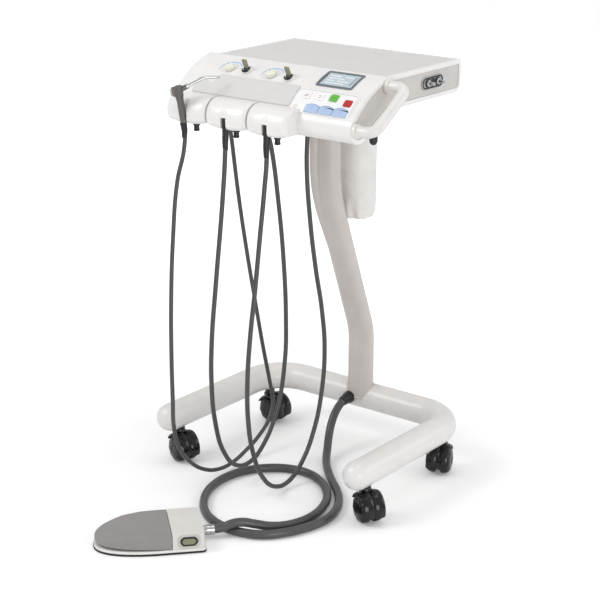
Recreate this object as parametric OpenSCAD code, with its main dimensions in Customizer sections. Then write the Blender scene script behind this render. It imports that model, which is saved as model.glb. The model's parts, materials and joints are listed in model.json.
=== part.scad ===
// Portable dental delivery cart: a sloped instrument console on a cranked column and a
// U-shaped tube base with four castors, three instrument hoses and a foot control.
// Millimetres. X is the width, the instruments face -Y, and Z = 0 is the floor.

/* [Base frame] */
// Outside diameter of the base tube
tube_d = 60; // [50:1:70]
// Wall of the base tube
tube_wall = 2.5; // [1.5:0.5:4]
// Distance between the centrelines of the two legs
track = 500; // [440:10:560]
// Reach of each leg forward of the cart centre, to the middle of its domed end
leg_reach = 185; // [160:5:220]
// Distance from the cart centre back to the cross tube
rear_reach = 185; // [170:5:220]
// Centreline radius of the two rear bends
bend_r = 85; // [70:5:110]

/* [Castors] */
// Height of a castor from the floor to the tube
castor_h = 74; // [70:1:90]
// Diameter of a castor wheel
wheel_d = 60; // [50:1:64]
// Width of one of the two wheels of a castor
wheel_w = 20; // [16:1:24]
// Distance from the swivel axis to the axle
castor_trail = 15; // [8:1:20]
// Diameter of the castor stem
stem_d = 11; // [8:1:12]
// Length of the castor stem inside the tube
stem_l = 30; // [20:1:38]
// Diameter of the castor axle
axle_d = 8; // [6:1:10]
// Distance from the leg's domed end back to the front castor
front_castor_setback = 30; // [10:5:60]
// Place of a rear castor round the bend, from the leg
rear_castor_angle = 32; // [0:1:60]

/* [Column] */
// Width of the column section
column_w = 60; // [50:1:70]
// Depth of the column section
column_d = 40; // [34:1:46]
// Wall of the column
column_wall = 2.5; // [1.5:0.5:4]
// Distance of the column foot in front of the cross tube
column_setback = 11; // [0:1:14]
// Height at which the column starts to lean
knee_z = 235; // [200:5:280]
// Lean of the slanted stretch
column_lean = 21; // [15:1:24]
// Radius of the lower bend
lower_bend_r = 150; // [120:5:200]
// Length of the slanted stretch
slant_l = 279; // [240:1:290]
// Radius of the upper bend
upper_bend_r = 350; // [300:5:370]
// Radius of the conduit cover on the column
cover_r = 11; // [9:0.5:12]
// Length of the conduit cover along the slanted stretch
cover_slant_l = 130; // [80:5:200]

/* [Console] */
// Height of the tray top above the floor
tray_top = 883; // [850:1:920]
// Thickness of the flat part of the console
slab_t = 67; // [60:1:75]
// Width of the console
console_w = 432; // [420:2:460]
// Distance from the cart centre forward to the deck's top edge
deck_edge = 56; // [46:1:66]
// Distance from the cart centre back to the rear wall
console_rear = 209; // [190:1:215]
// Radius of the curved deck
deck_r = 202; // [190:1:220]
// Slope of the deck at its top edge
deck_slope = 12.9; // [10:0.1:16]
// Radius of the round nose
nose_r = 29; // [26:1:31]
// Distance of the nose's lowest line below the tray top
nose_drop = 117; // [108:1:123]
// Slope of the underside behind the nose
belly_slope = 30; // [25:1:40]
// Wall of the console shells
wall = 3; // [2:0.5:4]
// Thickness of the tray top
tray_t = 6; // [5:0.5:8]
// Width of the rim round the tray inlay
rim_w = 6; // [4:1:12]
// Thickness of the tray inlay
inlay_t = 2; // [1:0.5:3]
// Depth of the inlay below the rim
rim_h = 1; // [0.5:0.5:2]
// Width of the hollow cheek on the left
cheek_w = 24; // [16:1:30]
// Height of the pan's side above the console's underside
pan_h = 9; // [6:1:14]
// Radius of the lower rear corner
rear_corner_r = 20; // [10:1:24]
// Thickness of the soft work pad
pad_t = 2.5; // [1.5:0.5:4]

/* [Controls] */
// Display window, width
window_w = 78; // [70:1:84]
// Display window, height
window_h = 44; // [38:1:46]
// Display frame beyond the window
bezel_w = 5; // [4:0.5:7]
// Height of the display frame above the deck
bezel_h = 1.5; // [1:0.5:3]
// Thickness of the display glass
glass_t = 2; // [1.5:0.5:3]
// Key panel, width
panel_w = 147; // [143:1:150]
// Key panel, height
panel_h = 60; // [59:1:62]
// Height of the key panel above the deck
panel_t = 1.2; // [0.8:0.1:2]
// Height of a key above the deck
key_h = 2.7; // [2.2:0.1:3.5]
// Travel of a key
key_travel = 1.2; // [0.8:0.1:1.5]
// Gap round a key
key_gap = 0.35; // [0.3:0.05:0.6]
// Width of a blue key
blue_w = 32; // [28:0.5:33]
// Height of a blue key
blue_h = 20; // [16:0.5:22]
// Side of a square key
key_w = 18; // [14:0.5:20]
// Diameter of a flow knob
knob_d = 21; // [16:1:26]
// Height of a flow knob
knob_h = 9; // [7:0.5:14]
// Diameter of a knob's spindle
spindle_d = 6; // [4:0.5:8]
// Length of a toggle lever above its pivot
lever_l = 24; // [18:1:30]
// Width of a toggle lever
lever_w = 9.5; // [7:0.5:11]
// Thickness of a toggle lever
lever_t = 5; // [4:0.5:6]
// Diameter of a toggle base
toggle_d = 23; // [20:1:28]
// Diameter of the pivot pin of a toggle
toggle_pin_d = 3; // [2:0.5:4]

/* [Handle] */
// Diameter of the handle tube
handle_d = 22; // [18:1:26]
// Reach of the handle beyond the console's side
handle_reach = 46; // [40:1:60]
// Length of the grip between the centrelines of its ends
handle_l = 126; // [100:1:130]
// Bend radius of the handle
handle_bend_r = 20; // [15:1:30]
// Slope of the grip
handle_slope = 34; // [28:1:40]

/* [Instruments] */
// Distance between the instrument holders
holder_pitch = 104; // [100:1:112]
// Width of one holder
holder_w = 100; // [90:1:100]
// Height of a holder
holder_h = 56; // [50:1:60]
// Distance from the nose's front line to a holder's front
holder_depth = 38; // [34:1:44]
// Diameter of a tubing coupling
coupling_d = 13; // [11:0.5:14]
// Diameter of the syringe handle
syringe_d = 14; // [12:0.5:16]
// Length of the syringe handle
syringe_l = 72; // [65:1:80]
// Forward tilt of the syringe
syringe_tilt = 12.5; // [8:0.5:16]
// Diameter of the syringe nozzle
nozzle_d = 4.4; // [3:0.1:5]
// Length of the nozzle from the head to its bend
nozzle_l = 54; // [45:1:60]
// Length of the nozzle beyond its bend
nozzle_tip_l = 30; // [20:1:35]
// Bend of the nozzle
nozzle_bend = 25; // [10:1:40]
// Diameter of an instrument hose
hose_d = 9.6; // [8:0.2:11]

/* [Water and air] */
// Diameter of the water bottle
bottle_d = 78; // [70:1:84]
// Length of the bottle's body below its shoulder
bottle_l = 172; // [150:1:180]
// Diameter of the bottle's neck
bottle_neck_d = 34; // [28:1:40]
// Diameter of the air filter bowl
filter_d = 17; // [14:1:24]
// Length of the air filter bowl
filter_l = 77; // [60:1:90]
// Outside diameter of a quick-connect port
port_d = 7; // [5:0.5:9]
// Length of a quick-connect port
port_l = 12; // [8:1:16]
// Distance between the two ports
port_pitch = 34; // [28:1:44]

/* [Foot control] */
// Length of the foot control
pedal_l = 216; // [200:2:230]
// Width of the foot control
pedal_w = 126; // [110:2:132]
// Height of the foot control
pedal_h = 40; // [36:1:46]
// Direction in which the foot control points
pedal_heading = 227.8; // [222:0.1:234]
// Length of the fixed tail cover
tail_l = 66; // [60:1:74]
// Thickness of the rubber sole
sole_t = 4; // [3:0.5:6]
// Height of the base plate's rim
plate_t = 5; // [4:0.5:7]
// Travel of the treadle at its front edge
treadle_drop = 5; // [3:0.5:6]
// Diameter of the treadle's pin
treadle_pin_d = 5; // [4:0.5:6]
// Diameter of the foot hose
foot_hose_d = 18; // [14:0.5:20]
// Outer width of the loose hose loop on the floor
loop_w = 286; // [270:2:290]
// Outer length of the loose hose loop
loop_l = 346; // [320:2:350]

/* [Hidden] */

$fn = 64;
eps = 0.05;          // seat gap of curved faces within one body
run_gap = 0.05;      // radial gap of a pin in its bore
free_gap = 0.4;      // gap of faces that move past each other

// colours
white = "#efeeec";
shade = "#c4c0bb";
steel_grey = "#b9b3af";
pad_grey = "#d8d7d5";
dark = "#3c3c3b";
black = "#141414";
olive = "#7c7d66";
chrome = "#c9ccd0";

// base
tube_r = tube_d / 2;
leg_x = track / 2;
base_z = castor_h + tube_r;
bend_y = rear_reach - bend_r;
bend_x = leg_x - bend_r;
base_rear = rear_reach + tube_r;

// castors: places [x, y] and yaw, front left, front right, rear left, rear right
stem_r = stem_d / 2;
axle_r = axle_d / 2;
wheel_r = wheel_d / 2;
web_t = 12;
hood_gap = 1.5;
hood_t = 4;
collar_r = 11;
front_castor_y = front_castor_setback - leg_reach;
rear_castor_x = bend_x + bend_r * cos(rear_castor_angle);
rear_castor_y = bend_y + bend_r * sin(rear_castor_angle);
castor_yaw = [250, 240, 262, 200];
castor_places = [
    [-leg_x, front_castor_y, castor_yaw[0]], [leg_x, front_castor_y, castor_yaw[1]],
    [-rear_castor_x, rear_castor_y, castor_yaw[2]], [rear_castor_x, rear_castor_y, castor_yaw[3]],
];
hood_edge = web_t / 2 + wheel_w - 3;
hood_out = castor_trail + wheel_r + hood_gap + hood_t;

// console profile in the Y-Z plane
half_w = console_w / 2;
shell_x = half_w - wall;
console_bottom = tray_top - slab_t;
nose_bottom = tray_top - nose_drop;
deck_c = [-deck_edge + deck_r * sin(deck_slope), tray_top - deck_r * cos(deck_slope)];
nose_angle = acos((nose_bottom + nose_r - deck_c[1]) / (deck_r - nose_r));
nose_c = deck_c + (deck_r - nose_r) * [-sin(nose_angle), cos(nose_angle)];
nose_out = unit(nose_c - deck_c);
nose_front = nose_c[0] - nose_r;
belly_out = [sin(belly_slope), -cos(belly_slope)];
pan_top = console_bottom + pan_h;
inner_floor = console_bottom + wall;
far = 400;

// column path in the Y-Z plane
foot_y = rear_reach - column_setback;
knee_y = foot_y - lower_bend_r * (1 - cos(column_lean));
slant_z = knee_z + lower_bend_r * sin(column_lean);
slant_end_y = knee_y - slant_l * sin(column_lean);
slant_end_z = slant_z + slant_l * cos(column_lean);
head_y = slant_end_y - upper_bend_r * (1 - cos(column_lean));
head_z = slant_end_z + upper_bend_r * sin(column_lean);
weld_gap = 0.02;
bracket_t = 6;
bracket_w = 120;
bracket_d = 84;
bracket_collar_h = 22;
cover_at = [-column_w / 2 + cover_r - 1, -column_d / 2 + cover_r - 6];
column_top = console_bottom - bracket_t;

// controls: [x, distance down the deck from its top edge]
display_at = [half_w - 88, 35];
panel_at = [half_w - 86, 104];
blue_at = [for (dx = [-19, 15, 49]) panel_at + [dx, 15]];
red_at = panel_at + [55, -7];
green_at = panel_at + [18, -15];
white_at = [panel_at + [-46, -13], panel_at + [-14, -13]];
knob_x = [76, 185];
knob_at = [[knob_x[0] - half_w, 50], [knob_x[1] - half_w, 52]];
toggle_x = [120, 231];
toggle_at = [[toggle_x[0] - half_w, 47], [toggle_x[1] - half_w, 51]];
pad_margin = 22;
pad_w = panel_at[0] - panel_w / 2 - 0.5 + half_w - pad_margin;
pad_l = 52;
pad_at = [pad_margin - half_w + pad_w / 2, 96];
plug_w = panel_w - 6;
plug_h = panel_h - 7;
toggle_base_h = 5;
toggle_pivot_h = 2.6;
lever_hub_r = 3.6;
lever_slot = [2 * lever_hub_r + 3, 14];
spindle_l = 14;

// handle, the middle of the grip in the Y-Z plane
handle_mid = [-109, tray_top - 52];
handle_collar_h = 8;

// instruments
holder_x = [for (i = [0:2]) 44 - half_w + i * holder_pitch];
lobe_r = 110;
holder_low_r = 20;
holder_top_r = 34;
cleft_w = 14;
holder_front = nose_front - holder_depth;
holder_top = nose_bottom + holder_h;
coupling_r = coupling_d / 2;
slot_r = coupling_r + 0.3;
coupling_y = holder_front + 8;
coupling_top = nose_bottom + 28;
coupling_bottom = nose_bottom - 13;
syringe_r = syringe_d / 2;
syringe_foot = [holder_x[0], holder_front + 2, nose_bottom + 4];
nozzle_r = nozzle_d / 2;
nozzle_yaw = 52;
nozzle_pitch = 16;
nozzle_bend_r = 12;
chuck_l = 17;
head_h = 18;
head_r = syringe_r + 2;
button_r = 3.5;
button_travel = 2;
gland_r = 8;
gland_l = 30;
gland_z = console_bottom - gland_l;
gland_y = -82;
gland_x = holder_x + [12, 4, 8];

// water and air
bottle_at = [22, 122];
bottle_r = bottle_d / 2;
shoulder_h = 38;
neck_r = bottle_neck_d / 2;
neck_h = 20;
cap_h = 50;
bottle_top = console_bottom - cap_h;
bottle_bottom = bottle_top - neck_h - shoulder_h - bottle_l;
cap_r = neck_r + 6;
filter_at = [half_w - 47, -33];
port_at = [100, tray_top - 32];
port_plate_w = 76;
port_plate_h = 26;

// inner works
board_at = [half_w - 146, -20];
board_w = 120;
board_d = 80;
board_t = 1.6;
post_h = 8;
post_inset = 8;
chip_w = 18;
chip_d = 24;
chip_pitch = 30;
manifold_at = [46 - half_w, 40];
manifold_w = 130;
manifold_d = 40;
manifold_h = 26;
valve_pitch = 45;
valve_r = 11;
valve_h = 22;

// foot control
foot_r = foot_hose_d / 2;
pedal_tail_at = [51, -427];
pedal_dir = [cos(pedal_heading), sin(pedal_heading)];
pedal_r = pedal_w / 2;
pedal_straight = 76;
pedal_nose_k = 2.4;
fitting_l = 16;
fitting_z = 17;
tail_run = 13.5;
plate_top = sole_t + plate_t;
skin_inset = 3;
hinge_u = tail_l + 10;
hinge_z = 19;
ear_t = 6;
ear_back = 5;
button_u = 34;
button_z = 25;
button_out = 2.5;
loop_at = [62, -233];
loop_heading = -52.4;
foot_gland_x = -15;
foot_gland_y = rear_reach - tube_r - 6;
foot_gland_l = 14;
foot_gland_r = foot_r + 1.5;

// hose routes, from the instrument or the base to the far end
left_route = [
    [-172, -212, 770], [-172, -208, 752], [-172, -212, 712], [-171, -234, 655],
    [-167, -256, 535], [-160, -273, 415], [-150, -287, 295], [-140, -297, 205],
    [-132, -304, 148], [-126, -297, 104], [-121, -268, 62], [-118, -224, 30],
    [-119, -172, 14], [-123, -122, 13], [-126, -80, 22], [-129, -30, 40],
    [-133, 14, 70], [-137, 30, 105], [-140, 23, 150], [-146, 6, 240],
    [-152, -12, 345], [-156, -30, 442], [-159, -55, 580], [-160, -74, 700],
    [-160, -82, 752], [-160, -82, 786],
];
middle_route = [
    [-68, -206, 753], [-68, -206, 725], [-68, -214, 640], [-67, -241, 455],
    [-65, -258, 342], [-64, -262, 250], [-62, -255, 165], [-61, -228, 85],
    [-60, -190, 44], [-60, -145, 36], [-61, -100, 58], [-62, -50, 125],
    [-62, -22, 230], [-63, -17, 325], [-64, -24, 457], [-64, -42, 591],
    [-64, -64, 705], [-64, -80, 755], [-64, -82, 786],
];
right_route = [
    [36, -206, 753], [36, -204, 728], [36, -212, 660], [36, -226, 570],
    [36, -242, 465], [36, -259, 365], [36, -268, 275], [36, -266, 190],
    [36, -252, 120], [36, -222, 55], [36, -180, 18], [36, -132, 14],
    [38, -88, 46], [39, -50, 104], [40, -26, 180], [41, -17, 276],
    [42, -29, 369], [43, -52, 462], [44, -74, 574], [44, -86, 690],
    [44, -84, 750], [44, -82, 786],
];
foot_route = [
    [-15, 149, 104], [-15, 128, 101], [-15, 104, 87], [-12, 82, 64],
    [-3, 60, 40], [12, 32, 20], [36, -6, 9], [70, -42, 9], [104, -82, 9],
];
hose_sides = 8;
foot_hose_sides = 10;

// the origin is under the middle of everything but the hoses
pedal_low_y = min([for (p = pedal_outline(0)) pedal_point(p)[1]]);
rear_y = max(base_rear, console_rear);
cart_y = -(pedal_low_y + rear_y) / 2;
hood_past = max(
    -sin(castor_yaw[1]) * hood_out - cos(castor_yaw[1]) * (hood_edge - 6),
    -sin(castor_yaw[1]) * (hood_out - 2) - cos(castor_yaw[1]) * hood_edge);
cart_x = -(hood_past - tube_r) / 2;

// ---------------------------------------------------------------- helpers

module cart() {
    translate([cart_x, cart_y, 0]) children();
}

// stands a drawing in the Y-Z plane and draws it out along X
module across(x0, x1) {
    translate([x0, 0, 0]) rotate([90, 0, 90]) linear_extrude(x1 - x0) children();
}

module obround(w, d) {
    square([w - d, d], center = true);
    for (s = [-1, 1]) translate([s * (w - d) / 2, 0]) circle(d / 2);
}

module rounded(w, h, r) {
    square([w - 2 * r, h], center = true);
    square([w, h - 2 * r], center = true);
    for (sx = [-1, 1], sy = [-1, 1]) translate([sx * (w / 2 - r), sy * (h / 2 - r)]) circle(r);
}

// local frame on the deck at [x, distance down the slope]: Z is out of the deck, Y up the slope
module on_deck(at, lift = 0) {
    a = deck_slope + at[1] / deck_r * 180 / PI;
    translate([at[0], deck_c[0] - deck_r * sin(a), deck_c[1] + deck_r * cos(a)])
        rotate([a, 0, 0]) translate([0, 0, lift]) children();
}

// curved layer that follows the deck, from height lo to height hi
module deck_layer(lo, hi) {
    across(-half_w, half_w) translate(deck_c) difference() {
        circle(deck_r + hi, $fn = 180);
        circle(deck_r + lo, $fn = 180);
    }
}

// prism along the deck's normal, from a drawing in the local frame
module deck_prism(at) {
    on_deck(at, -20) linear_extrude(40) children();
}

// plate of a drawn outline that follows the deck
module deck_plate(at, lo, hi) {
    intersection() {
        deck_prism(at) children();
        deck_layer(lo, hi);
    }
}

// round bend from +Z towards -Y: the drawing has X across and Y in depth
module bend(r, angle) {
    translate([0, -r, 0]) rotate([90, 0, 90])
        rotate_extrude(angle = angle, $fn = 180) translate([r, 0]) mirror([1, -1]) children();
}

function unit(v) = v / norm(v);
function rounded_corner(c, r, a0, a1, n = 6) =
    [for (i = [0:n]) c + r * [cos(a0 + (a1 - a0) * i / n), sin(a0 + (a1 - a0) * i / n)]];

// outline of the foot control from its tail end at 0 to its tip: [along, across]
function signed_pow(v, k) = sign(v) * pow(abs(v), k);
function pedal_outline(inset) =
    let (w = pedal_r - inset, l = pedal_l - pedal_straight - inset, k = 2 / pedal_nose_k, c = 8)
    concat(
        rounded_corner([inset + c, -w + c], c, 180, 270),
        [for (a = [-90:6:90]) [
            pedal_straight + l * pow(max(cos(a), 0), k), w * signed_pow(sin(a), k),
        ]],
        rounded_corner([inset + c, w - c], c, 90, 180)
    );
function pedal_point(p) = pedal_tail_at + p[0] * pedal_dir + p[1] * [-pedal_dir[1], pedal_dir[0]];

// tube swept along the points of a route
function heading(path, i) =
    unit(path[min(i + 1, len(path) - 1)] - path[max(i - 1, 0)]);
function ring(path, i, r, n) =
    let (t = heading(path, i), side = abs(t[0]) > 0.9 ? [0, 0, 1] : [1, 0, 0],
        u = unit(cross(t, side)), v = cross(t, u))
    [for (k = [0:n - 1]) path[i] + r * (cos(360 * k / n) * u + sin(360 * k / n) * v)];
module sweep(path, d, n) {
    r = d / 2 * (1 + 1 / cos(180 / n)) / 2;
    m = len(path);
    points = [for (i = [0:m - 1]) each ring(path, i, r, n)];
    sides = [for (i = [0:m - 2], k = [0:n - 1], half = [0, 1])
        let (a = i * n + k, b = i * n + (k + 1) % n)
        half == 0 ? [a, a + n, b + n] : [a, b + n, b]];
    caps = [[for (k = [0:n - 1]) k], [for (k = [n - 1:-1:0]) (m - 1) * n + k]];
    polyhedron(points, concat(sides, caps));
}

// ---------------------------------------------------------------- base frame and castors

module tube_run(r) {
    for (s = [-1, 1]) {
        translate([s * leg_x, -leg_reach, base_z]) sphere(r);
        translate([s * leg_x, -leg_reach, base_z]) rotate([-90, 0, 0])
            cylinder(h = leg_reach + bend_y, r = r);
        translate([s * bend_x, bend_y, base_z]) rotate(s > 0 ? 0 : 90)
            rotate_extrude(angle = 90) translate([bend_r, 0]) circle(r);
    }
    translate([-bend_x, rear_reach, base_z]) rotate([0, 90, 0])
        cylinder(h = 2 * bend_x, r = r);
}

module at_castor(i) {
    p = castor_places[i];
    translate([p[0], p[1], 0]) rotate(p[2]) children();
}

module base_frame() color(white) cart() {
    difference() {
        union() {
            difference() {
                tube_run(tube_r);
                tube_run(tube_r - tube_wall);
            }
            for (i = [0:3]) at_castor(i) translate([0, 0, castor_h])
                cylinder(h = stem_l + tube_wall, r = stem_r + 3.5);
        }
        for (i = [0:3]) at_castor(i) translate([0, 0, castor_h - 1])
            cylinder(h = stem_l + 1, r = stem_r + run_gap);
        translate([foot_gland_x, foot_gland_y - 1, base_z]) rotate([-90, 0, 0])
            cylinder(h = 20, r = foot_r + 1.5);
    }
}

module hood_profile() {
    inner = wheel_r + hood_gap;
    outer = inner + hood_t;
    polygon([
        [inner, -hood_edge], [outer - 2, -hood_edge], [outer, -hood_edge + 6],
        [outer, hood_edge - 6], [outer - 2, hood_edge], [inner, hood_edge],
    ]);
}

module castor_fork(i) color(black) cart() at_castor(i) {
    axle_z = wheel_r;
    collar_z = axle_z + wheel_r + hood_gap;
    translate([0, castor_trail, axle_z]) rotate([0, 90, 0])
        rotate([0, 0, 70]) rotate_extrude(angle = 175) hood_profile();
    difference() {
        union() {
            translate([0, castor_trail, axle_z]) intersection() {
                rotate([0, 90, 0]) translate([0, 0, -web_t / 2])
                    cylinder(h = web_t, r = wheel_r + hood_gap + 1);
                translate([-web_t, -2 * wheel_r, -12]) cube([2 * web_t, 4 * wheel_r, 3 * wheel_r]);
            }
            translate([0, 0, axle_z + 8]) cylinder(h = castor_h - axle_z - 8 - 0.3, r = collar_r);
        }
        translate([-web_t, castor_trail, axle_z]) rotate([0, 90, 0])
            cylinder(h = 2 * web_t, r = axle_r + run_gap);
        for (s = [-1, 1]) translate([s * (web_t / 2 + wheel_w / 2 + 0.1), castor_trail, axle_z])
            rotate([0, 90, 0]) cylinder(h = wheel_w, r = wheel_r + hood_gap + 0.5, center = true);
    }
    translate([0, 0, castor_h - 1]) cylinder(h = stem_l, r = stem_r);
}

module castor_wheels(i) color(dark) cart() at_castor(i) translate([0, castor_trail, wheel_r]) {
    inner = web_t / 2 + free_gap;
    rotate([0, 90, 0]) {
        cylinder(h = 2 * (inner + wheel_w - 4), r = axle_r, center = true);
        for (s = [0, 1]) mirror([0, 0, s]) translate([0, 0, inner]) rotate_extrude() polygon([
            [0, 0], [wheel_r - 2, 0], [wheel_r, 2], [wheel_r, wheel_w - 6],
            [wheel_r - 2.5, wheel_w - 1.5], [wheel_r - 7, wheel_w], [0, wheel_w],
        ]);
    }
}

// ---------------------------------------------------------------- column

// the column's path with any section; the slant and the foot can be left shorter
module column_upper(slant) {
    translate([0, slant_end_y, slant_end_z]) rotate([column_lean, 0, 0])
        translate([0, 0, -slant]) linear_extrude(slant) children();
    translate([0, slant_end_y, slant_end_z]) rotate([column_lean, 0, 0])
        mirror([0, 1, 0]) bend(upper_bend_r, column_lean) mirror([0, 1]) children();
    translate([0, head_y, head_z]) linear_extrude(column_top - head_z) children();
}

module column_run(foot_z) {
    translate([0, foot_y, foot_z]) linear_extrude(knee_z - foot_z) children();
    translate([0, foot_y, knee_z]) bend(lower_bend_r, column_lean) children();
    column_upper(slant_l - weld_gap) children();
}

module column() color(steel_grey) cart() difference() {
    column_run(base_z) obround(column_w, column_d);
    column_run(base_z - 1) obround(column_w - 2 * column_wall, column_d - 2 * column_wall);
    translate([-column_w, rear_reach, base_z]) rotate([0, 90, 0])
        cylinder(h = 2 * column_w, r = tube_r + eps);
    translate([foot_gland_x, foot_gland_y, base_z]) rotate([-90, 0, 0])
        cylinder(h = foot_gland_l, r = foot_gland_r);
}

module column_cover() color(shade) cart() column_upper(cover_slant_l) difference() {
    translate(cover_at) circle(cover_r);
    obround(column_w + 2 * eps, column_d + 2 * eps);
}

module head_bracket() color(steel_grey) cart() translate([0, head_y, 0]) difference() {
    union() {
        translate([0, 0, column_top]) linear_extrude(bracket_t) rounded(bracket_w, bracket_d, 8);
        translate([0, 0, column_top - bracket_collar_h]) linear_extrude(bracket_collar_h)
            obround(column_w + 10, column_d + 10);
    }
    translate([0, 0, column_top - bracket_collar_h - 1]) {
        linear_extrude(bracket_collar_h + 1) obround(column_w + 2 * eps, column_d + 2 * eps);
        linear_extrude(bracket_collar_h + bracket_t + 2) obround(column_w - 14, column_d - 14);
        translate(cover_at) cylinder(h = bracket_collar_h + 1, r = cover_r + eps);
    }
}

// ---------------------------------------------------------------- console

// the console's side view, made smaller all round by inset
module console_outline(inset = 0) {
    r = nose_r - inset;
    tangent = nose_c + r * belly_out;
    low = console_bottom + inset;
    belly_y = tangent[0] + (low - tangent[1]) / tan(belly_slope);
    top = tray_top - inset;
    rear = console_rear - inset;
    rc = rear_corner_r - inset;
    intersection() {
        translate(deck_c) circle(deck_r - inset, $fn = 180);
        polygon([
            nose_c, nose_c + far * unit(nose_c - deck_c),
            [-deck_edge, far + top], [-deck_edge, low], [belly_y, low], tangent,
        ]);
    }
    translate(nose_c) circle(r);
    translate([-deck_edge, low + rc]) square([deck_edge + rear, top - low - rc]);
    translate([-deck_edge, low]) square([deck_edge + rear - rc, rc + 1]);
    translate([rear - rc, low + rc]) circle(rc);
}

module console_ring(t) difference() {
    console_outline(0);
    console_outline(t);
}

// the side view is cut into deck, nose, pan and tray along these lines
module deck_zone() polygon([
    nose_c, nose_c + far * nose_out, [-deck_edge - far, tray_top + far],
    [-deck_edge, tray_top + far], [-deck_edge, pan_top],
]);
module nose_zone() polygon([
    nose_c, nose_c + far * nose_out, nose_c + far * [-1, -0.3],
    nose_c + far * [-0.2, -1], nose_c + far * belly_out,
]);
module pan_zone() polygon([
    nose_c, nose_c + far * belly_out, [console_rear + 1, nose_bottom - far],
    [console_rear + 1, pan_top], [-deck_edge - 30, pan_top],
]);
module tray_zone() polygon([
    [-deck_edge, pan_top], [console_rear + 1, pan_top],
    [console_rear + 1, tray_top + 1], [-deck_edge, tray_top + 1],
]);

module console_pan() color(shade) cart() difference() {
    across(-shell_x, shell_x) intersection() {
        console_ring(wall);
        pan_zone();
    }
    for (x = gland_x) translate([x, gland_y, console_bottom - 60]) cylinder(h = 80, r = gland_r + eps);
    translate([bottle_at[0], bottle_at[1], console_bottom - 5]) cylinder(h = 20, r = neck_r - 6);
    translate([0, head_y, console_bottom - 1]) linear_extrude(wall + 2)
        obround(column_w - 14, column_d - 14);
    translate([filter_at[0], filter_at[1], console_bottom - 5]) cylinder(h = 20, r = 4 + eps);
}

module console_tray() color(white) cart() difference() {
    across(-shell_x, shell_x) {
        intersection() {
            console_ring(wall);
            tray_zone();
        }
        translate([-deck_edge, tray_top - tray_t]) square([deck_edge + console_rear, tray_t]);
    }
    translate([-shell_x + rim_w, -deck_edge + rim_w, tray_top - inlay_t - rim_h])
        cube([2 * shell_x - 2 * rim_w, deck_edge + console_rear - 2 * rim_w, 10]);
}

module tray_inlay() color(pad_grey) cart()
    translate([-shell_x + rim_w + free_gap, -deck_edge + rim_w + free_gap, tray_top - inlay_t - rim_h])
        cube([
            2 * (shell_x - rim_w - free_gap),
            deck_edge + console_rear - 2 * (rim_w + free_gap), inlay_t,
        ]);

module deck() color(white) cart() difference() {
    across(-shell_x, shell_x) intersection() {
        console_ring(wall);
        deck_zone();
    }
    deck_prism(display_at) rounded(window_w + 4 + 2 * eps, window_h + 4 + 2 * eps, 3);
    deck_prism(panel_at) rounded(plug_w + 2 * eps, plug_h + 2 * eps, 6);
    for (p = knob_at) on_deck(p, -20) cylinder(h = 40, r = spindle_d / 2 + run_gap);
    for (p = toggle_at) on_deck(p, -20) linear_extrude(40)
        square(lever_slot, center = true);
}

module nose() color(white) cart() across(-shell_x, shell_x) intersection() {
    console_ring(wall);
    nose_zone();
}

module side_panel_right() color(shade) cart() across(shell_x, half_w) console_outline();

module side_panel_left() color(shade) cart() {
    across(-half_w, -shell_x) console_outline();
    color(white) difference() {
        union() {
            across(-half_w - cheek_w + 4, -half_w) cheek_side(0);
            across(-half_w - cheek_w, -half_w - cheek_w + 4) cheek_side(4);
        }
        across(-half_w - cheek_w + wall, -half_w) cheek_side(4 + wall);
    }
}

module cheek_side(inset) intersection() {
    console_outline(inset);
    translate([-far - deck_edge + 8 - inset, 0]) square([far, 2 * tray_top]);
}

module work_pad() color(pad_grey) cart()
    deck_plate(pad_at, eps, pad_t) difference() {
        rounded(pad_w, pad_l, 5);
        translate([-pad_w / 2, pad_l / 2]) rotate(-17) square([90, 26], center = true);
    }

module handle() color(white) cart() {
    translate([half_w, handle_mid[0], handle_mid[1]]) rotate([handle_slope, 0, 0]) {
        for (s = [0, 1]) mirror([0, s, 0]) translate([0, handle_l / 2, 0]) {
            rotate([0, 90, 0]) cylinder(h = handle_reach - handle_bend_r, r = handle_d / 2);
            rotate([0, 90, 0]) cylinder(h = handle_collar_h, r = handle_d / 2 + 3);
            translate([handle_reach - handle_bend_r, -handle_bend_r, 0])
                rotate_extrude(angle = 90) translate([handle_bend_r, 0]) circle(handle_d / 2);
        }
        translate([handle_reach, 0, 0]) rotate([90, 0, 0])
            cylinder(h = handle_l - 2 * handle_bend_r, r = handle_d / 2, center = true);
    }
}
// ---------------------------------------------------------------- display and keys

module display_bezel() color(dark) cart() difference() {
    union() {
        deck_plate(display_at, eps, bezel_h)
            rounded(window_w + 2 * bezel_w, window_h + 2 * bezel_w, 5);
        deck_plate(display_at, -7, bezel_h / 2) rounded(window_w + 4, window_h + 4, 3);
    }
    on_deck(display_at, -glass_t - 1) linear_extrude(20) square([window_w, window_h], center = true);
    on_deck(display_at, -20) linear_extrude(40)
        square([window_w - 6, window_h - 6], center = true);
}

module display_glass() color("#b7c4cf") cart() on_deck(display_at, -glass_t - 1)
    linear_extrude(glass_t) square([window_w - 2 * eps, window_h - 2 * eps], center = true);

// outline of a blue key: straight below, humped above
module blue_outline(gap = 0) {
    w = blue_w + 2 * gap;
    hump = 5;
    r = (w * w / 4 + hump * hump) / (2 * hump);
    translate([-w / 2, -blue_h / 2 - gap]) square([w, blue_h - hump + 2 * gap]);
    intersection() {
        translate([0, blue_h / 2 + gap - r]) circle(r);
        translate([-w / 2, 0]) square([w, blue_h]);
    }
}

module square_outline(gap = 0) rounded(key_w + 2 * gap, key_w - 2 + 2 * gap, 3);

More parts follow.
